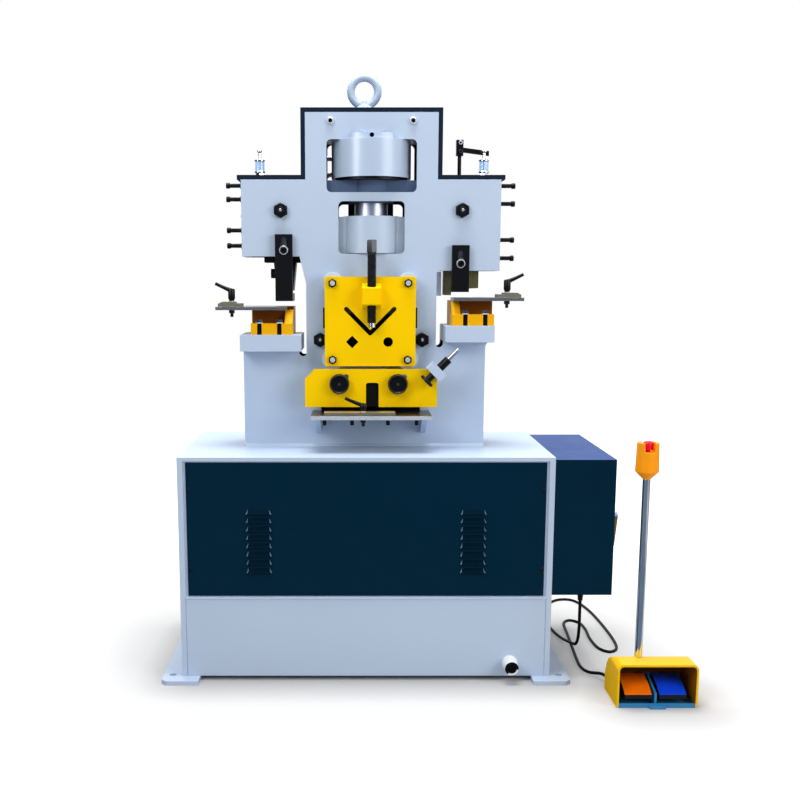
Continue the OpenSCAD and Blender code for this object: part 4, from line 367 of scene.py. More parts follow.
# A dark grey plastic for the knobs' rim ring and middle dot: painted highlight.
GLINT_PLASTIC = moulded("glint_plastic", (50, 54, 62), 0.25, relief=0.02, shine=0.4)
ORANGE_PLASTIC = moulded("orange_plastic", (255, 118, 0), 0.40)
AMBER_PLASTIC = moulded("amber_plastic", (255, 158, 0), 0.40)
BLUE_PLASTIC = moulded("blue_plastic", (8, 70, 232), 0.40)
RED_PLASTIC = moulded("red_plastic", (226, 8, 44), 0.34)
CABLE_RUBBER = moulded("cable_rubber", (10, 13, 16), 0.46, grain=600.0, relief=0.10, bloom=0.3,
                        shine=0.12)

glass = Finish("clear_glass")
glass.set(Base_Color=(0.62, 0.76, 0.94, 1.0), Transmission_Weight=1.0, IOR=1.49)
glass.link(glass.between(glass.noise(80.0), 0.02, 0.10), glass.shader.inputs["Roughness"])
CLEAR_GLASS = glass.material
print("moulded", len(bpy.data.materials))

# %% [markdown]
# ## The pedal cable
# The cable leaves a gland under the electrical box, drops to the floor, makes two lazy loops behind
# and beside the cabinet, and enters the pedal station. A smooth curve through listed points
# (the same as in the CAD model) keeps its real length; a bevel makes it round.

# %% Cable
CABLE_WIDTH = 0.010
CABLE_POINTS = np.array([
    [677, -210, 231], [677, -210, 190], [679, -200, 140], [685, -160, 90], [692, -95, 50],
    [697, -30, 29], [693, 30, 16], [682, 95, 7], [668, 180, 5], [660, 290, 5], [672, 410, 5],
    [708, 515, 5], [760, 575, 5], [815, 560, 5], [845, 440, 5], [857, 260, 5], [858, 80, 5],
    [846, -15, 5], [815, -46, 5], [787, -5, 5], [780, 95, 5], [786, 200, 5], [779, 275, 5],
    [749, 306, 5], [722, 268, 5], [713, 165, 5], [704, 40, 5], [694, -90, 5], [690, -190, 5],
    [702, -255, 10], [729, -296, 20], [738, -326, 24], [738, -346, 24]]) * MM


def smooth_route(points, steps):
    """Catmull-Rom: between two points a cubic whose slope at each is half the chord of its neighbours."""
    padded = np.concatenate([points[:1], points, points[-1:]])
    t = np.linspace(0, 1, steps, endpoint=False)[None, :, None]
    p0, p1, p2, p3 = (padded[k:len(padded) - 3 + k, None] for k in range(4))
    cubic = (2 * p1 + (p2 - p0) * t + (2 * p0 - 5 * p1 + 4 * p2 - p3) * t**2
             + (3 * p1 - p0 - 3 * p2 + p3) * t**3) / 2
    return np.concatenate([cubic.reshape(-1, 3), points[-1:]])


cable_line = smooth_route(CABLE_POINTS, 8)
cable_curve = bpy.data.curves.new("pedal_cable_line", "CURVE")
cable_curve.dimensions = "3D"
cable_curve.bevel_depth = CABLE_WIDTH / 2
cable_curve.bevel_resolution = 5
cable_curve.use_fill_caps = True
spline = cable_curve.splines.new("POLY")
spline.points.add(len(cable_line) - 1)
spline.points.foreach_set("co", np.c_[cable_line, np.ones(len(cable_line))].ravel())
spline.use_smooth = True
cable = bpy.data.objects.new("pedal_cable_sheath", cable_curve)
cable.data.materials.append(CABLE_RUBBER)
bpy.context.scene.collection.objects.link(cable)
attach(cable, "machine")
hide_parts("pedal_cable")

# %% [markdown]
# ## Plates and boxes from the CAD solids
# Most of the machine is flame-cut plate and folded sheet. Those shapes are already right in the CAD
# model, but its edges are razor sharp and its mesh is loose triangles. A copy is merged, flat faces
# are joined, and a live bevel breaks every edge as a grinder would, which is what makes an edge catch
# the light.

# %% Softened copies
# The sharpest turn that stays smooth, and how squarely a face must look along an axis to count.
EDGE_ANGLE = math.radians(28)
FACING = 0.9
EDGE_STEPS = 2
SAME_PLACE = 1e-6
FLAT_ANGLE = math.radians(0.4)


def cad_copy(node):
    """A merged copy of a CAD node's triangles, as (points, triangles)."""
    source = frame["nodes"][node].data
    points = np.empty(len(source.vertices) * 3)
    source.vertices.foreach_get("co", points)
    corners = np.empty(len(source.loops), dtype=np.int64)
    source.loops.foreach_get("vertex_index", corners)
    key = np.round(points.reshape(-1, 3) / SAME_PLACE).astype(np.int64)
    _, first, same = np.unique(key, axis=0, return_index=True, return_inverse=True)
    return points.reshape(-1, 3)[first], same.reshape(-1)[corners].reshape(-1, 3)


def mesh_of(name, points, faces, flatten=False, outward=False, paint=None):
    """A mesh with its doubles merged. Flatten joins faces in one plane, outward turns faces to the outside,
    and paint gives each face its material's number."""
    mesh = bpy.data.meshes.new(name)
    mesh.from_pydata(points.tolist(), [], faces.tolist())
    if paint is not None:
        mesh.polygons.foreach_set("material_index", paint)
    mesh.validate()
    work = bmesh.new()
    work.from_mesh(mesh)
    bmesh.ops.remove_doubles(work, verts=list(work.verts), dist=SAME_PLACE)
    if flatten:
        bmesh.ops.dissolve_limit(work, angle_limit=FLAT_ANGLE, verts=list(work.verts), edges=list(work.edges))
    if outward:
        bmesh.ops.recalc_face_normals(work, faces=list(work.faces))
    work.to_mesh(mesh)
    work.free()
    mesh.shade_smooth()
    mesh.set_sharp_from_angle(angle=EDGE_ANGLE)
    return mesh


def show(name, mesh, materials, body, slot, *nodes):
    """A new piece in the scene that rides on a body and stands for CAD nodes."""
    piece = bpy.data.objects.new(name, mesh)
    bpy.context.scene.collection.objects.link(piece)
    for material in materials:
        mesh.materials.append(material)
    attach(piece, body)
    if nodes:
        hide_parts(*nodes)
    return piece


def break_edges(piece, width):
    """A live bevel, width millimetres wide, on every edge sharper than the smooth ones."""
    bevel = piece.modifiers.new("broken_edges", "BEVEL")
    bevel.width = width * MM
    bevel.segments = EDGE_STEPS
    bevel.limit_method = "ANGLE"
    bevel.angle_limit = EDGE_ANGLE
    bevel.harden_normals = True


def body_of(node):
    """The body that a CAD node rides on."""
    return frame["nodes"][node]["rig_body"]


def softened(node, material, slot, edge):
    """A CAD node's copy with edges broken edge millimetres wide. Gives the piece and, as rows of x, y and
    z, the middles of its faces in millimetres and their normals."""
    points, triangles = cad_copy(node)
    mesh = mesh_of(node + "_form", points, triangles, flatten=True)
    piece = show(node + "_finished", mesh, [material], body_of(node), slot, node)
    break_edges(piece, edge)
    found = [piece]
    for key, unit in (("center", MM), ("normal", 1.0)):
        values = np.empty(len(mesh.polygons) * 3)
        mesh.polygons.foreach_get(key, values)
        found.append(values.reshape(-1, 3).T / unit)
    return found


def repaint(piece, chosen, material):
    """Gives the chosen faces, a true or false for each, another material."""
    index = np.empty(len(piece.data.polygons), dtype=np.int32)
    piece.data.polygons.foreach_get("material_index", index)
    piece.data.materials.append(material)
    index[chosen] = len(piece.data.materials) - 1
    piece.data.polygons.foreach_set("material_index", index)


print("copies ready")

# %% [markdown]
# ## Cabinet, frame and cylinder
# The base is a welded cabinet with a drip lip over its plinth; the frame is two thick plates with the
# ram's windows cut through. All of it wears the same pale blue-grey. The louvred panel and the
# electrical box are navy, the covers of the frame are slate. Where one solid carries two finishes,
# its faces are picked by their middles and normals and repainted. Some of these colours are painted
# shade and light: the windows' side walls, the inner side of the rear plate, the cylinder's seat and
# neck, the louvres' slopes and the die holders' recess get darker paint as painted shade; the louvres'
# ends and the electrical box's top get paler paint as painted highlight and painted light.

# %% Painted plate work
RAM_X = 18
WINDOW_HALF = 150
WINDOWS_LOW, WINDOWS_HIGH = 1280, 1690
SEAT_LOW = 1480
SIDEWAYS = 0.5
for node, edge in (("base_cabinet", 3.0), ("foot_plates", 2.0), ("die_shelves", 1.6), ("ram_head", 2.0)):
    softened(node, FRAME_PAINT, "frame_paint", edge)
for node in ("front_frame_plate", "rear_frame_plate"):
    plate, spot, lean = softened(node, FRAME_PAINT, "frame_paint", 1.6)
    # Side walls inside the ram's windows, and every forward face of the rear plate, take painted shade.
    shaded_walls = (np.abs(lean[1]) < SIDEWAYS) & (np.abs(spot[0] - RAM_X) < WINDOW_HALF)
    shaded_walls &= (spot[2] > WINDOWS_LOW) & (spot[2] < WINDOWS_HIGH)
    if node == "rear_frame_plate":
        shaded_walls |= lean[1] < -FACING
    repaint(plate, shaded_walls, SHADE_DARK)
spacers, spot, lean = softened("frame_spacers", FRAME_PAINT, "frame_paint", 1.2)
# Forward faces of the seat under the cylinder take painted shade.
shaded_seat = (lean[1] < -FACING) & (spot[2] > SEAT_LOW) & (np.abs(spot[0] - RAM_X) < WINDOW_HALF)
repaint(spacers, shaded_seat, SEAT_SHADE)

# %% Panel, covers and cylinder
LOUVRE_TILT = 0.2
LOUVRE_FLAT, LOUVRE_STEEP = 0.3, 0.7
LIT_TOP_DEPTH = 5
RECESS_DEPTH = 20
BOX_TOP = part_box("electrical_box")[1][2] / MM
HOLDER_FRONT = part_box("die_holders")[0][1] / MM
NECK_TOP, RING_TOP = 1529, 1541
PORT_Z = 1661.5
PORT_WIDE = 8
PORT_MOUTH, PORT_END = -86, -62
panel, _, lean = softened("front_panel", NAVY_PAINT, "navy_paint", 0.8)
louvre = (lean[2] > LOUVRE_TILT) & (lean[1] < -LOUVRE_TILT)
slant = np.abs(lean[0])
# Louvre slopes take the darker navy as painted shade, louvre ends the paler navy as painted highlight.
repaint(panel, louvre & (slant < LOUVRE_FLAT), LOUVRE_SHADE)
repaint(panel, louvre & (slant >= LOUVRE_FLAT) & (slant < LOUVRE_STEEP), LOUVRE_HIGHLIGHT)
softened("frame_covers", SLATE_PAINT, "navy_paint", 1.4)
for node in ("electrical_box", "box_door"):
    housing, spot, lean = softened(node, NAVY_PAINT, "navy_paint", 2.0)
    # Upward faces at the top of the box and its door take the paler blue, painted light.
    repaint(housing, (lean[2] > FACING) & (spot[2] > BOX_TOP - LIT_TOP_DEPTH), BOX_TOP_LIGHT)
softened("section_cover", YELLOW_PAINT, "yellow_paint", 1.2)
holders, spot, lean = softened("die_holders", AMBER_PAINT, "amber_paint", 1.4)
# Forward faces deep in the die holders' recess, under the tables, take the dark brown as painted shade.
repaint(holders, (lean[1] < -FACING) & (spot[1] > HOLDER_FRONT + RECESS_DEPTH), RECESS_SHADE)
softened("pedal_base", BLUE_PAINT, "blue_paint", 1.0)
barrel, spot, lean = softened("cylinder_barrel", CYLINDER_PAINT, "frame_paint", 2.0)
# Below the ring's top the faces are black steel: the gland ring's own dark steel, and on the underside under
# the barrel painted shade. The neck's sides below take the mid blue-grey as painted shade.
repaint(barrel, spot[2] < RING_TOP, BLACK_STEEL)
repaint(barrel, (spot[2] < NECK_TOP) & (lean[2] > -SIDEWAYS), SEAT_SHADE)
# The oil port's hole is near black inside: painted shade.
port = np.hypot(spot[0] - RAM_X, spot[2] - PORT_Z) < PORT_WIDE
repaint(barrel, port & (spot[1] > PORT_MOUTH) & (spot[1] < PORT_END), SHADE_DARK)

# %% [markdown]
# ## Tools, tables and other machined parts
# These come from their solids too, in the steel each one shows: blackened strippers and punch holder,
# an olive notching tool, ground tables, a chrome ram and bronze wear strips. The slide's front is painted
# like the frame. The guard of the flat-bar shear carries a black shoe, a pale tilt block and a black
# sleeve in one solid; how far a face lies up the block's slope tells which of them it belongs to.

# %% Machined parts
for node, material, slot, edge in (
        ("oil_tank", GALVANISED, "galvanised", 1.0), ("gib_strips", BRONZE, "bronze", 0.6),
        ("piston_rod", ROD_CHROME, "chrome", 1.0), ("moving_blades", DARK_STEEL, "tool_steel", 0.5),
        ("fixed_blades", DARK_STEEL, "tool_steel", 0.5), ("punch_holder", BLACK_STEEL, "black_steel", 1.5),
        ("notch_punch", OLIVE_STEEL, "olive_steel", 1.2), ("stroke_rod", BLACK_STEEL, "black_steel", 0.8),
        ("dies", PLAIN_STEEL, "plain_steel", 0.6), ("work_tables", TABLE_STEEL, "plain_steel", 0.8),
        ("left_stripper", BLACK_STEEL, "black_steel", 1.2),
        ("right_stripper", BLACK_STEEL, "black_steel", 1.2),
        ("hold_down_foot", CHROME, "chrome", 0.8), ("fence_bar", FENCE_STEEL, "plain_steel", 0.8),
        ("power_pack", MOTOR_PAINT, "motor_paint", 1.0), ("electrics_plate", GALVANISED, "galvanised", 0.6),
        ("pedal_pole", CHROME, "chrome", 0.8), ("stop_head", AMBER_PLASTIC, "orange_plastic", 1.2)):
    softened(node, material, slot, edge)
slide, _, lean = softened("ram_slide", PLAIN_STEEL, "plain_steel", 1.0)
repaint(slide, lean[1] < -FACING, FRAME_PAINT)

# %% Stops, flat table and guard
TONGUE_RISE = 11
FLAT_UNDER, FLAT_FRONT = 803, -220
BOLT_ROW, BOLT_HALF = 55, 8
GUARD_FACE, GUARD_BACK = -122.5, -110
TILT_SPOT = (208.5, -147.5, 936)
TILT_SIDE = 150
SLEEVE_START = 29.5
for node in ("left_stop", "right_stop"):
    stop, spot, lean = softened(node, STOP_STEEL, "olive_steel", 0.8)
    tongue = spot[2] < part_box(node)[0][2] / MM + TONGUE_RISE
    repaint(stop, tongue & (lean[2] > FACING), BLUED_STEEL)

flat, spot, lean = softened("flat_table", SHEAR_STEEL, "plain_steel", 1.0)
inward = spot[1] - FLAT_FRONT
below = spot[2] < FLAT_UNDER - 1
# The table's front face takes bright zinc: a painted highlight along its front edge.
repaint(flat, (lean[1] < -FACING) & (inward < 1), BRIGHT_ZINC)
repaint(flat, below & (inward > BOLT_ROW + 1), FRAME_PAINT)
repaint(flat, below & (np.abs(inward - BOLT_ROW) < BOLT_HALF), BLACK_STEEL)

guard, spot, lean = softened("flat_guard", YELLOW_PAINT, "yellow_paint", 1.2)
up_slope = (spot[0] + spot[2] - TILT_SPOT[0] - TILT_SPOT[2]) / math.sqrt(2)
block = spot[0] > TILT_SIDE
on_plate = (spot[1] > GUARD_FACE) & (up_slope < 1)
shoe = (lean[1] < -FACING) & (spot[1] > GUARD_BACK - 1) & (up_slope < 1)
repaint(guard, shoe | (spot[1] > GUARD_BACK + 1), BLACK_STEEL)
repaint(guard, block & ~on_plate & (up_slope < SLEEVE_START), FRAME_PAINT)
repaint(guard, block & (up_slope > SLEEVE_START), BLACK_STEEL)

# %% Pipes, pedals, latch and drain
SQUARE_ON = 0.999
PLATE_BACK = 109
TREAD_LEAN = 0.3
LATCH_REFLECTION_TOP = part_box("door_handle")[0][2] / MM + 45
DRAIN_X, DRAIN_Z = 446, 55
PLUG_RADIUS = 13
pipes, spot, lean = softened("hydraulic_pipes", PLAIN_STEEL, "plain_steel", 0.8)
repaint(pipes, (np.abs(lean).max(axis=0) > SQUARE_ON) & (spot[1] > PLATE_BACK), BLACK_PLASTIC)
for node, colour in (("orange_pedal", ORANGE_PLASTIC), ("blue_pedal", BLUE_PLASTIC)):
    pedal, _, lean = softened(node, colour, node.split("_")[0] + "_plastic", 1.2)
    repaint(pedal, lean[2] < TREAD_LEAN, BLACK_PLASTIC)
latch, spot, _ = softened("door_handle", LATCH_STEEL, "chrome", 1.0)
# The latch's lower end takes bronze: a painted warm reflection.
repaint(latch, spot[2] < LATCH_REFLECTION_TOP, BRONZE)
drain, spot, lean = softened("oil_drain", WHITE_PLASTIC, "white_plastic", 1.0)
plug = np.hypot(spot[0] - DRAIN_X, spot[2] - DRAIN_Z) < PLUG_RADIUS
repaint(drain, (lean[1] < -FACING) & plug, BLACK_PLASTIC)

# %% [markdown]
# ## Turned forms
# Screws, nuts, knobs and oilers are all made on a lathe, so one helper makes them all: a grid whose
# rows are circles of a given radius at a given height. Where the radius also depends on the angle, the
# same grid gives a hexagon, a square drive or a thread. Each form stands on its own Z axis at first and
# is then turned and moved to its place.

# %% Forms of revolution
SIDES = 48
ANGLE = np.arange(SIDES) * 2 * np.pi / SIDES
FRONT = (0, -1, 0)
BACK = (0, 1, 0)
UP = (0, 0, 1)


def grid_faces(rows, columns, ring=False):
    """Four-sided faces between rows whose columns run round; ring joins the last row to the first."""
    row = np.arange(rows if ring else rows - 1)[:, None]
    column = np.arange(columns)[None, :]
    above = (row + 1) % rows * columns
    beside = (column + 1) % columns
    here = row * columns
    corners = np.broadcast_arrays(here + column, here + beside, above + beside, above + column)
    return np.stack(corners, axis=-1).reshape(-1, 4)


def round_form(radius, height):
    """Points (r cos a, r sin a, z), in millimetres: r for each row, or each row and angle, z for each row."""
    r = np.stack([np.broadcast_to(row, SIDES) for row in radius])
    z = np.broadcast_to(np.asarray(height, dtype=float)[:, None], r.shape)
    points = np.stack([r * np.cos(ANGLE), r * np.sin(ANGLE), z], axis=-1) * MM
    return points.reshape(-1, 3), grid_faces(*r.shape)


def turned(*profile):
    """A lathe form from pairs of radius and height, from the low end's middle to the high end's."""
    radius, height = np.array(profile, dtype=float).T
    return round_form(radius, height)


def many_sided(across, corners):
    """Radius of a regular polygon: half its width over the cosine of the angle from a flat's middle."""
    part = 2 * np.pi / corners
    return across / 2 / np.cos((ANGLE + part / 2) % part - part / 2)


def hex_form(across, height, shank=0.0, reach=0.0):
    """A hexagon cut by a cone at its top, the smaller of both radii, with a shank below."""
    z = np.linspace(height - 0.14 * across, height, 6)
    cone = 0.46 * across + 1.75 * (height - z)
    flats = many_sided(across, 6)
    radius = [0.0, shank / 2, shank / 2, flats, *(np.minimum(flats, c) for c in cone), 0.0]
    return round_form(radius, [-reach, -reach, 0, 0, *z, height])


def socket_form(width, height, across, shank, reach):
    """A round head with a hexagon sunk half its height into the top, and a shank below."""
    soft = 0.07 * width
    half = width / 2
    flats = many_sided(across, 6)
    radius = [0.0, shank / 2, shank / 2, half, half, half - soft, flats * 1.06, flats, flats, 0.0]
    rise = [-reach, -reach, 0, 0, height - soft, height, height, height - 0.4, height / 2, height / 2]
    return round_form(radius, rise)


def threaded(width, length, pitch):
    """A thread with closed ends: radius less 0.3 pitch times 1 - cos(2 pi z / pitch - a)."""
    z = np.arange(0, length + pitch / 12, pitch / 6)
    wave = (1 - np.cos(2 * np.pi * z[:, None] / pitch - ANGLE)) / 2
    radius = np.vstack([0 * ANGLE, width / 2 - 0.6 * pitch * wave, 0 * ANGLE])
    return round_form(radius, np.r_[0, z, z[-1]])


def placed(form, origin, axis=UP):
    """The form's Z turned to an axis, then moved to an origin in millimetres."""
    points, faces = form
    z = np.array(axis, dtype=float) / np.linalg.norm(axis)
    x = np.cross(UP if abs(z[2]) < 0.9 else BACK, z)
    x /= np.linalg.norm(x)
    return points @ np.array([x, np.cross(z, x), z]) + np.array(origin) * MM, faces


def fitted(form, origin, material, axis=UP):
    """A placed form with its material."""
    return placed(form, origin, axis), material


def formed(name, parts, body, slot, *nodes):
    """One piece from pairs of form and material, each form's faces in its own material."""
    forms = [form for form, _ in parts]
    materials = list(dict.fromkeys(material for _, material in parts))
    starts = np.cumsum([0] + [len(points) for points, _ in forms])
    points = np.concatenate([form[0] for form in forms])
    faces = np.concatenate([form[1] + start for form, start in zip(forms, starts)])
    paint = np.concatenate([np.full(len(form[1]), materials.index(m), dtype=np.int32) for form, m in parts])
    mesh = mesh_of(name + "_form", points, faces, outward=True, paint=paint)
    return show(name, mesh, materials, body, slot, *nodes)


def made(node, parts, slot):
    """The piece that stands for one CAD node, on that node's body."""
    return formed(node + "_finished", parts, body_of(node), slot, node)


print("sides", SIDES)

# %% [markdown]
# ## Screws and nuts
# A real nut has its corners turned off, so its top edge is a row of small arcs. Taking the smaller of
# a hexagon and a cone gives just that. Socket screws have a sunk hexagon, which would be hard to see
# without shade in it, so a thin dark plug lies in each: painted shade on the socket's floor.

# %% Cap screws
PANEL_FACE = -297
FRAME_FACE = -50
STRIPPER_FACE = -72.3
TOWER_SCREW_Z = 1705
CLAMP_X = 298
BLOCK_FACE = 19


def sunk(origin, width, height, across, head, shank, reach):
    """A socket screw on the machine's front, with a dark disc on the floor of its socket as painted shade."""
    mid = height / 2
    socket_shade_form = round_form([0.0, many_sided(across, 6) * 0.98, 0.0], [mid + 0.2, mid + 0.4, mid + 0.6])
    return [fitted(socket_form(width, height, across, shank, reach), origin, head, FRONT),
            fitted(socket_shade_form, origin, DARK_STEEL, FRONT)]


cap_parts = []
for x in (-538, 538):
    for z in (354, 600):
        cap_parts += sunk((x, PANEL_FACE, z), 12, 4, 5, BLACK_STEEL, 6, 3)
for x in (-109, 145):
    cap_parts += sunk((x, FRAME_FACE, TOWER_SCREW_Z), 21, 10, 12, BRIGHT_ZINC, 14, 60)
washer = turned((0, 0), (13.6, 0), (13.6, 1.6), (13, 2), (0, 2))
for x, z in ((-255, 1316), (296, 1275)):
    cap_parts.append(fitted(washer, (x, STRIPPER_FACE, z), BRIGHT_ZINC, FRONT))
    cap_parts += sunk((x, STRIPPER_FACE - 2, z), 21, 12, 12, BLACK_STEEL, 14, 49)
made("cap_screws", cap_parts, "black_steel")
print("cap screws", len(cap_parts))

ROD_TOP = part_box("stroke_rod")[1][2] / MM
clamp_parts = []
for drop, head in ((9, BRIGHT_ZINC), (36, BLUED_STEEL)):
    clamp_parts += sunk((CLAMP_X, BLOCK_FACE, ROD_TOP - drop), 13, 6, 6, head, 8, 4)
formed("stroke_clamp_screws", clamp_parts, body_of("stroke_rod"), "plain_steel")
print("clamp screws", len(clamp_parts))

# %% Hex bolts
SHELF_TOPS = (1057, 1085)
BOLT_Y = -95
COVER_FACE = -112
KNOBS_X = (-82, 100)
KNOB_Z = 906
bolt_washer = turned((0, 0), (12, 0), (12, 2.4), (11.4, 3), (0, 3))
bolt_shank = turned((0, -34), (6, -34), (6, 35), (0, 35))
bolt_parts = []
for shelf, places in zip(SHELF_TOPS, ((-331, -269), (310, 372))):
    for x in places:
        bolt_parts += [fitted(bolt_washer, (x, BOLT_Y, shelf + 35), BRIGHT_ZINC),
                       fitted(bolt_shank, (x, BOLT_Y, shelf), BLACK_STEEL),
                       fitted(hex_form(19, 9), (x, BOLT_Y, shelf + 38), BLUED_STEEL)]
cover_stud = turned((0, -87), (8, -87), (8, 15), (7, 17), (0, 17))
spacer = turned((0, 0), (32, 0), (33, 1), (33, 49), (32, 50), (0, 50))
for x in (-103, 131):
    for z in (980, 1215.25):
        bolt_parts += [fitted(hex_form(24, 12), (x, COVER_FACE, z), BLACK_STEEL, FRONT),
                       fitted(cover_stud, (x, COVER_FACE, z), BRIGHT_ZINC, FRONT),
                       fitted(spacer, (x, FRAME_FACE, z), FRAME_PAINT, FRONT)]
guard_stud = turned((0, -25), (8, -25), (8, 87), (7, 88), (0, 88))
sleeve = turned((0, 0), (15, 0), (15, 59.7), (0, 59.7))
for x in KNOBS_X:
    bolt_parts += [fitted(guard_stud, (x, FRAME_FACE, KNOB_Z), PLAIN_STEEL, FRONT),
                   fitted(sleeve, (x, FRAME_FACE, KNOB_Z), BLACK_STEEL, FRONT)]
made("hex_bolts", bolt_parts, "plain_steel")
print("hex bolts", len(bolt_parts))

# %% Adjusting screws
SIDE_Y = 30
guide = turned((0, -25), (10, -25), (10, 21), (8.5, 23), (0, 23))
tip = turned((0, 22), (4.5, 22), (4.5, 24), (3.5, 25), (0, 25))
guide_parts = []
for reach, z in ((282, 1437.8), (161, 1039)):
    for x in (RAM_X - reach, RAM_X + reach):
        for form, steel in ((hex_form(41, 16), BLACK_STEEL), (guide, BLACK_STEEL), (tip, GALVANISED)):
            guide_parts.append(fitted(form, (x, FRAME_FACE, z), steel, FRONT))
side_head = turned((0, 42), (8.2, 42), (9, 43), (9, 52.6), (7.6, 54), (4, 54), (3.4, 51), (0, 51))
stub = turned((0, 0), (5.5, 0), (5.5, 7.5), (4, 9), (0, 9))
for x, way, heights, stub_z in ((-387, -1, (1518.9, 1476.9, 1380.9, 1333), 1425),
                                (420, 1, (1518, 1462.9, 1351, 1293.9), 1406.1)):
    axis = (way, 0, 0)
    for z in heights:
        guide_parts += [fitted(hex_form(20, 9), (x, SIDE_Y, z), BROWNED_STEEL, axis),
                        fitted(threaded(14, 68, 2.0), (x - 25 * way, SIDE_Y, z), BLACK_STEEL, axis),
                        fitted(side_head, (x, SIDE_Y, z), BLACK_STEEL, axis)]
    guide_parts.append(fitted(stub, (x, SIDE_Y, stub_z), FRAME_PAINT, axis))
made("adjusting_screws", guide_parts, "black_steel")
print("adjusting screws", len(guide_parts))

# %% [markdown]
# ## Oilers, knobs and screws that are turned by hand
# The drip oilers are chrome caps on a glass tube. The knobs have a dished face with a raised rim; a thin
# paler ring on the rim and a paler dot in the middle are painted highlights. The hold-down screw has a
# fine thread and a square end for a spanner.

# %% Oilers and knobs
ARM_TOP = 1545
KNOB_FACE = -122.3
low_disc = turned((0, 0), (16, 0), (17, 1), (17, 4), (16, 5), (0, 5))
pin = turned((0, 5), (2.5, 5), (2.5, 35), (0, 35))
cup_top = turned((0, 35), (16, 35), (17, 36), (17, 38.5), (14, 40), (6.5, 42), (5, 44), (5, 60), (3.5, 62),
                 (7, 62.5), (7.5, 64), (7.5, 68), (6, 70), (0, 70))
tube = round_form([12.5, 15.5, 15.5, 12.5, 12.5], [0, 0, 30, 30, 0])
cup_parts = []
glass_parts = []
for x in (-331, 370):
    cup_parts.append(fitted(hex_form(24, 10, 12, 14), (x, 0, ARM_TOP), CHROME))
    cup_parts += [fitted(form, (x, 0, ARM_TOP + 10), CHROME) for form in (low_disc, pin, cup_top)]
    glass_parts.append(fitted(tube, (x, 0, ARM_TOP + 15), CLEAR_GLASS))
made("oil_cups", cup_parts, "chrome")
made("oil_glasses", glass_parts, "clear_glass")

knob = turned((0, 0), (26, 0), (28.5, 2), (31, 6), (31, 21), (30, 24), (28, 26), (25.5, 26), (24, 24.5),
              (22.5, 22.3), (7, 22), (4.2, 22), (3.6, 23.2), (0, 23.8))
# A thin ring on the rim and a dot in the middle, in the paler plastic: painted highlights on the knob.
glint_rim = turned((27.6, 25), (28.6, 25.4), (28.2, 26.4), (27.0, 26.6), (26.4, 26.0), (27.6, 25))
dot = turned((0, 23), (4.4, 23), (4.2, 24.2), (0, 24.8))
for node, x in zip(("left_guard_knob", "right_guard_knob"), KNOBS_X):
    centre = (x, KNOB_FACE, KNOB_Z)
    knob_parts = [fitted(knob, centre, BLACK_PLASTIC, FRONT)]
    knob_parts += [fitted(form, centre, GLINT_PLASTIC, FRONT) for form in (glint_rim, dot)]
    made(node, knob_parts, "black_plastic")

# %% Hand screws and stop button
SCREW_AT = (RAM_X, -135, 1095)
SCREW_PITCH = 4.0
TILT = (1, 0, 1)
BUTTON_AT = (803, -455, 0)
drive = np.roll(many_sided(21.2, 4), SIDES // 8)
shoulder = round_form([0.0, 13.0, 13.0, 0.0], [209, 209, 214, 214])
square = round_form([0.0, drive, drive, drive * 0.86, 0.0], [213, 213, 248, 251, 251])
screw_parts = [fitted(threaded(29, 210, SCREW_PITCH), SCREW_AT, BLACK_STEEL),
               fitted(shoulder, SCREW_AT, BLACK_STEEL), fitted(square, SCREW_AT, TOOL_STEEL)]
made("hold_down_screw", screw_parts, "black_steel")

foot = turned((0, -32.3), (20, -32.3), (23.5, -30), (23.5, -25.5), (21, -22.3), (11, -22.3), (11, -0.3),
              (0, -0.3))
rod = turned((0, -0.3), (7, -0.3), (7, 107.5), (5.5, 109.7), (0, 109.7))
angle_parts = [fitted(foot, TILT_SPOT, BLACK_STEEL, TILT), fitted(rod, TILT_SPOT, PLAIN_STEEL, TILT)]
made("angle_screw", angle_parts, "chrome")

button = turned((0, 736), (6.8, 736), (6.8, 748), (14.5, 748), (15.5, 749.5), (15.5, 764), (14.2, 768),
                (10, 770.8), (5, 771.8), (0, 772))
made("stop_button", [fitted(button, BUTTON_AT, RED_PLASTIC)], "red_plastic")

# %% [markdown]
# ## Glands
# A cable needs a soft way out of a housing. The gland under the box is a hexagon nut over a ribbed
# cone that tapers down to the cable; the connector on the pedal station is a small nut and a cone.

# %% Glands
BOX_EXIT = (677, -210)
PEDAL_PLUG = (738, -372, 24)
rib = np.linspace(0, 30, 31)
ribbed = 7.5 + 2.5 * rib / 30 + 0.45 * np.sin(2 * np.pi * rib / 5)
cone = round_form([0.0, *ribbed, 0.0], [0, *rib, 30])
thread_end = turned((0, 0), (10, 0), (10, 9), (0, 9))
nose = turned((0, 9), (8.5, 9), (8.5, 14), (6, 26), (0, 26))
gland_parts = [fitted(form, (*BOX_EXIT, z), BLACK_PLASTIC)
               for form, z in ((cone, 231), (hex_form(27, 12), 261), (thread_end, 273))]
gland_parts += [fitted(form, PEDAL_PLUG, BLUED_STEEL, BACK) for form in (hex_form(17, 10), nose)]
made("cable_glands", gland_parts, "black_plastic")
print("glands", len(gland_parts))

# %% [markdown]
# ## Rings, levers and weld beads
# A profile carried along a path makes the rest: the lifting eye is a circle carried round a circle, a
# clamp lever's arm is a circle that thins towards its tip, and a weld bead is a circle whose size
# ripples a little with every dip of the electrode.

# %% Swept forms
def ring_form(mean, section, turns=72):
    """A torus: (R + r cos b) round the axis and r sin b along it."""
    a = np.arange(turns)[:, None] * 2 * np.pi / turns
    out = mean + section * np.cos(ANGLE)
    off = np.broadcast_to(section * np.sin(ANGLE), (turns, SIDES))
    points = np.stack([out * np.cos(a), out * np.sin(a), off], axis=-1)
    return points.reshape(-1, 3) * MM, grid_faces(turns, SIDES, ring=True)


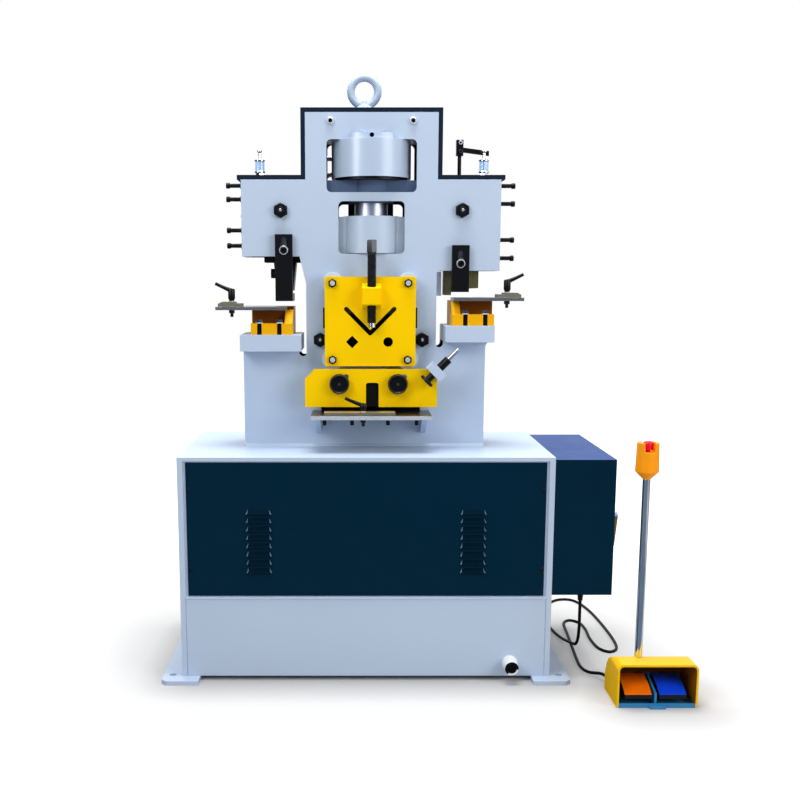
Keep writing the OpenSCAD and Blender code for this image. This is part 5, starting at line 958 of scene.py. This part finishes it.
def swept(path, radius, side=BACK, sides=16):
    """Rings of a radius across the path at each of its points, shrunk to a point at both ends."""
    along = np.gradient(path, axis=0)
    along /= np.linalg.norm(along, axis=1, keepdims=True)
    closed = np.r_[0, np.arange(len(path)), len(path) - 1]
    path, along, radius = path[closed], along[closed], np.r_[0, radius, 0]
    first = np.cross(along, side)
    first /= np.linalg.norm(first, axis=1, keepdims=True)
    second = np.cross(along, first)
    turn = np.arange(sides) * 2 * np.pi / sides
    ring = first[:, None] * np.cos(turn)[None, :, None] + second[:, None] * np.sin(turn)[None, :, None]
    points = path[:, None] + ring * radius[:, None, None]
    return points.reshape(-1, 3) * MM, grid_faces(len(path), sides)


collar = turned((0, -74), (15, -74), (15, 0), (32.5, 0), (32.5, 3), (30.5, 7), (25, 11), (19.5, 15), (16, 20),
                (13.5, 28), (0, 28))
LIFT_X = -4
RING_Z = 1803
TOWER_TOP = 1745
eye_parts = [fitted(ring_form(42, 12), (LIFT_X, SIDE_Y, RING_Z), CAST_PAINT, FRONT),
             fitted(collar, (LIFT_X, SIDE_Y, TOWER_TOP), CAST_PAINT)]
made("lifting_eye", eye_parts, "frame_paint")


def lever(node, x, y, base, hub, reach, under):
    """A clamp lever: a hub on a bright collar, an arm that thins to its tip, a stud and its nut."""
    hub_form = turned((0, 2), (7.5, 2), (8.5, 5), (11, 10), (11, hub - 5), (9.5, hub - 1), (7, hub), (0, hub))
    collar_form = turned((0, 0), (8.4, 0), (8.4, 2.2), (0, 2.2))
    t = np.linspace(0, 1, 24)
    arm = np.stack([x + reach * t, np.full(24, y), base + hub - 6 + 22 * t**1.15], axis=1)
    thick = 5.0 + 2.4 * (1 - t) ** 2
    low = under - 22 - base
    stud_form = turned((0, low), (5, low), (5, 1), (0, 1))
    stand = (x, y, base)
    lever_parts = [fitted(hub_form, stand, BLACK_PLASTIC), fitted(collar_form, stand, PLAIN_STEEL),
                   (swept(arm, thick), BLACK_PLASTIC), fitted(stud_form, stand, BLACK_STEEL),
                   fitted(hex_form(17, 10), (x, y, under - 10.3), BLACK_STEEL)]
    made(node, lever_parts, "black_plastic")


lever("left_stop_lever", -420, -65, 1158.6, 40, -50, 1133)
lever("right_stop_lever", 443, -65, 1186.6, 40, 50, 1161)
lever("fence_lever", -8, -191.5, 825.6, 26, -56, 803)


def bead(name, corners, width, step=1.5):
    """A weld along straight runs between corners: radius times 1 + 0.1 sin of the way in steps of the dip."""
    corners = np.array(corners, dtype=float)
    lengths = np.linalg.norm(np.diff(corners, axis=0), axis=1)
    way = np.r_[0, np.cumsum(lengths)]
    s = np.arange(0, way[-1], step)
    path = np.stack([np.interp(s, way, corners[:, k]) for k in range(3)], axis=1)
    ripple = width * (1 + 0.1 * np.sin(2 * np.pi * s / (4 * step)))
    return formed(name, [(swept(path, ripple, UP, 10), FRAME_PAINT)], "machine", "frame_paint")


CAB_TOP = 700
WELD = ((-386, -50), (380, -50), (380, 110), (-387, 110), (-387, -50))
bead("column_weld", [(x, y, CAB_TOP) for x, y in WELD], 4.5)

# %% [markdown]
# ## The pedal hood
# The guard over the pedals is pressed from one sheet: a flat top that rolls down to the back, with
# rounded shoulders. As a surface of two parameters, the front outline is carried from front to back,
# and no point may stand higher than the side outline's top there. A Solidify modifier gives the sheet
# its thickness; its inner side is a darker yellow-brown, painted shade.

# %% Pedal hood
HOOD_LOW, HOOD_HIGH = (np.array(corner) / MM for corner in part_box("pedal_guard"))
HOOD_FLAT = 60.0
HOOD_SHOULDER = 18.0
HOOD_WALL = 6.0


def hood_surface():
    """(x(s), y, min(z(s), top(y))): s runs over the front outline, top(y) is flat, then a quarter circle."""
    r = HOOD_SHOULDER
    half = (HOOD_HIGH[0] - HOOD_LOW[0]) / 2
    height = HOOD_HIGH[2]
    turn = np.linspace(0, np.pi / 2, 13)
    side = np.linspace(0, height - r, 24)[:-1]
    across = np.linspace(-half + r, half - r, 12)[1:-1]
    x = np.r_[np.full(23, -half), -half + r - r * np.cos(turn), across,
              half - r + r * np.sin(turn), np.full(23, half)]
    z = np.r_[side, height - r + r * np.sin(turn), np.full(10, height),
              height - r + r * np.cos(turn), side[::-1]]
    roll = HOOD_HIGH[1] - HOOD_LOW[1] - HOOD_FLAT
    bend = np.linspace(0, np.pi / 2, 33)
    y = HOOD_LOW[1] + np.r_[np.linspace(0, HOOD_FLAT, 8)[:-1], HOOD_FLAT + roll * np.sin(bend),
                            HOOD_FLAT + roll]
    top = np.r_[np.full(7, height), height - roll + roll * np.cos(bend), 0.0]
    middle_x = (HOOD_HIGH[0] + HOOD_LOW[0]) / 2
    cut = np.minimum(z[None], top[:, None])
    points = np.stack(np.broadcast_arrays(middle_x + x[None], y[:, None], cut), axis=-1)
    rows, columns = points.shape[:2]
    faces = grid_faces(rows, columns).reshape(rows - 1, columns, 4)[:, :-1].reshape(-1, 4)
    return points.reshape(-1, 3) * MM, faces


hood_points, hood_faces = hood_surface()
hood_mesh = mesh_of("pedal_hood_form", hood_points, hood_faces)
hood = show("pedal_hood", hood_mesh, [HOOD_PAINT, HOOD_INSIDE_SHADE], "machine", "yellow_paint", "pedal_guard")
wall = hood.modifiers.new("sheet", "SOLIDIFY")
wall.thickness = HOOD_WALL * MM
wall.offset = -1.0
# The inner side of the sheet takes the second material, painted shade.
wall.material_offset = 1
wall.material_offset_rim = 0
break_edges(hood, 1.2)
print("hood", len(hood_mesh.polygons))

# %% [markdown]
# ## Floor and light
# A white studio: a soft lamp to the upper left, one to the right, a strong one above, and a pale
# world. The floor is matt and takes the machine's shadow; to the camera it also glows, more so further
# from the machine, so that it runs into the white background. Bright metal is only as good as what it
# mirrors, so four dim cards and a bright strip stand where only reflections find them, as a
# photographer puts black flags beside chrome.

# %% Studio
FLOOR_HALF = 14.0
FLOOR_TONE = (0.45, 0.45, 0.45, 1.0)
CABINET_SPOT = ((0.0, -0.05, 0.0), (0.54, 0.26, 1.0))
PEDAL_SPOT = ((0.85, -0.45, 0.0), (0.06, 0.08, 1.0))
NEAR_GLOW = 0.3
NEAR_REACH = 0.18
FAR_GLOW = 0.7
FAR_REACH = 1.8


def beyond(f, middle, half):
    """The distance outside a rectangle: the length of |place - middle| - half, where that is above zero."""
    way = f.place
    for operation, value in (("SUBTRACT", middle), ("ABSOLUTE", None), ("SUBTRACT", half),
                             ("MAXIMUM", (0, 0, 0))):
        step = f.add("ShaderNodeVectorMath", operation=operation)
        f.link(way, step.inputs[0])
        if value:
            step.inputs[1].default_value = value
        way = step.outputs[0]
    length = f.add("ShaderNodeVectorMath", operation="LENGTH")
    f.link(way, length.inputs[0])
    return length.outputs["Value"]


def white_floor():
    """A matt sheet: diffuse light plus a glow, seen by view rays alone, that grows with the distance from
    the cabinet or the pedals, whichever is nearer, first fast and then slowly."""
    f = Finish("studio_floor")
    f.tree.nodes.remove(f.shader)
    matt = f.add("ShaderNodeBsdfDiffuse")
    matt.inputs["Color"].default_value = FLOOR_TONE
    glow = f.add("ShaderNodeEmission")
    away = f.math("MINIMUM", beyond(f, *CABINET_SPOT), beyond(f, *PEDAL_SPOT))
    near = f.between(away, 0.0, NEAR_GLOW, 0.0, NEAR_REACH)
    far = f.between(away, 0.0, FAR_GLOW, NEAR_REACH, FAR_REACH)
    level = f.math("ADD", near, far)
    rays = f.add("ShaderNodeLightPath").outputs["Is Camera Ray"]
    f.link(f.math("MULTIPLY", level, rays), glow.inputs["Strength"])
    both = f.add("ShaderNodeAddShader")
    f.link(matt.outputs[0], both.inputs[0])
    f.link(glow.outputs[0], both.inputs[1])
    f.link(both.outputs[0], f.tree.nodes["Material Output"].inputs["Surface"])
    return f.material


def sheet(name, corner, across, up, material):
    """A flat four-sided stage piece, from one corner along two sides."""
    start, first, second = (np.array(v, dtype=float) for v in (corner, across, up))
    mesh = bpy.data.meshes.new(name)
    mesh.from_pydata([start, start + first, start + first + second, start + second], [], [[0, 1, 2, 3]])
    mesh.materials.append(material)
    piece = bpy.data.objects.new(name, mesh)
    bpy.context.scene.collection.objects.link(piece)
    return piece


sheet("studio_floor", (-FLOOR_HALF, -FLOOR_HALF, 0), (2 * FLOOR_HALF, 0, 0), (0, 2 * FLOOR_HALF, 0),
      white_floor())
print("floor", FLOOR_HALF)

# %% Cards for reflections
CARD_LIFT = 0.004
STRIP_LIGHT = (9.0, 9.0, 9.0, 1.0)


def flag(name, corner, across, up, colour):
    """A card of one plain colour that only mirror rays meet."""
    f = Finish(name)
    f.tree.nodes.remove(f.shader)
    dim = f.add("ShaderNodeEmission")
    dim.inputs["Color"].default_value = colour
    f.link(dim.outputs[0], f.tree.nodes["Material Output"].inputs["Surface"])
    card = sheet(name, corner, across, up, f.material)
    card.visible_camera = False
    card.visible_diffuse = False
    card.visible_shadow = False
    card.visible_transmission = False
    return card


flag("front_flag", (-7, -7.5, 0), (14, 0, 0), (0, 0, 7), linear(104, 118, 132))
flag("floor_flag", (-4, -5, CARD_LIFT), (6.4, 0, 0), (0, 4.3, 0), linear(112, 130, 148))
flag("side_flag", (-4, -0.7, CARD_LIFT), (4.75, 0, 0), (0, 2.7, 0), linear(26, 34, 44))
flag("strip_card", (-3.2, -2.6, 1.0), (0.7, -0.6, 0), (0, 0, 2.2), STRIP_LIGHT)
flag("left_flag", (-4.5, 3.5, 0), (0, -10.5, 0), (0, 0, 3), linear(14, 18, 24))
print("cards ready")

# %% World and lamps
WORLD_FILL = 0.25
world = bpy.data.worlds.new("studio_world")
bpy.context.scene.world = world
world.use_nodes = True
air = Nodes(world.node_tree)
sky = air.tree.nodes["Background"]
sky.inputs["Color"].default_value = (1.0, 1.0, 1.0, 1.0)
paths = air.add("ShaderNodeLightPath").outputs
seen = paths["Is Camera Ray"]
for ray in ("Is Glossy Ray", "Is Transmission Ray"):
    seen = air.math("MAXIMUM", seen, paths[ray])
air.link(air.between(seen, WORLD_FILL, 1.0), sky.inputs["Strength"])


def soft_lamp(name, place, target, size, watts):
    """A square area lamp that looks from its place to a target."""
    data = bpy.data.lights.new(name, "AREA")
    data.size = size
    data.energy = watts
    lamp = bpy.data.objects.new(name, data)
    bpy.context.scene.collection.objects.link(lamp)
    lamp.location = place
    aim = np.array(target) - np.array(place)
    turn = math.atan2(aim[0], -aim[1]) + math.pi
    lamp.rotation_euler = (math.atan2(math.hypot(aim[0], aim[1]), -aim[2]), 0.0, turn)
    return lamp


soft_lamp("key_lamp", (-2.6, -3.4, 3.6), (0.0, 0.0, 0.9), 2.0, 80)
soft_lamp("fill_lamp", (3.2, -3.0, 2.2), (0.0, 0.0, 0.9), 2.4, 84)
soft_lamp("top_lamp", (0.0, 0.1, 4.4), (0.0, 0.1, 0.0), 2.4, 240)
bpy.context.scene.view_settings.view_transform = "Standard"
print("studio ready")
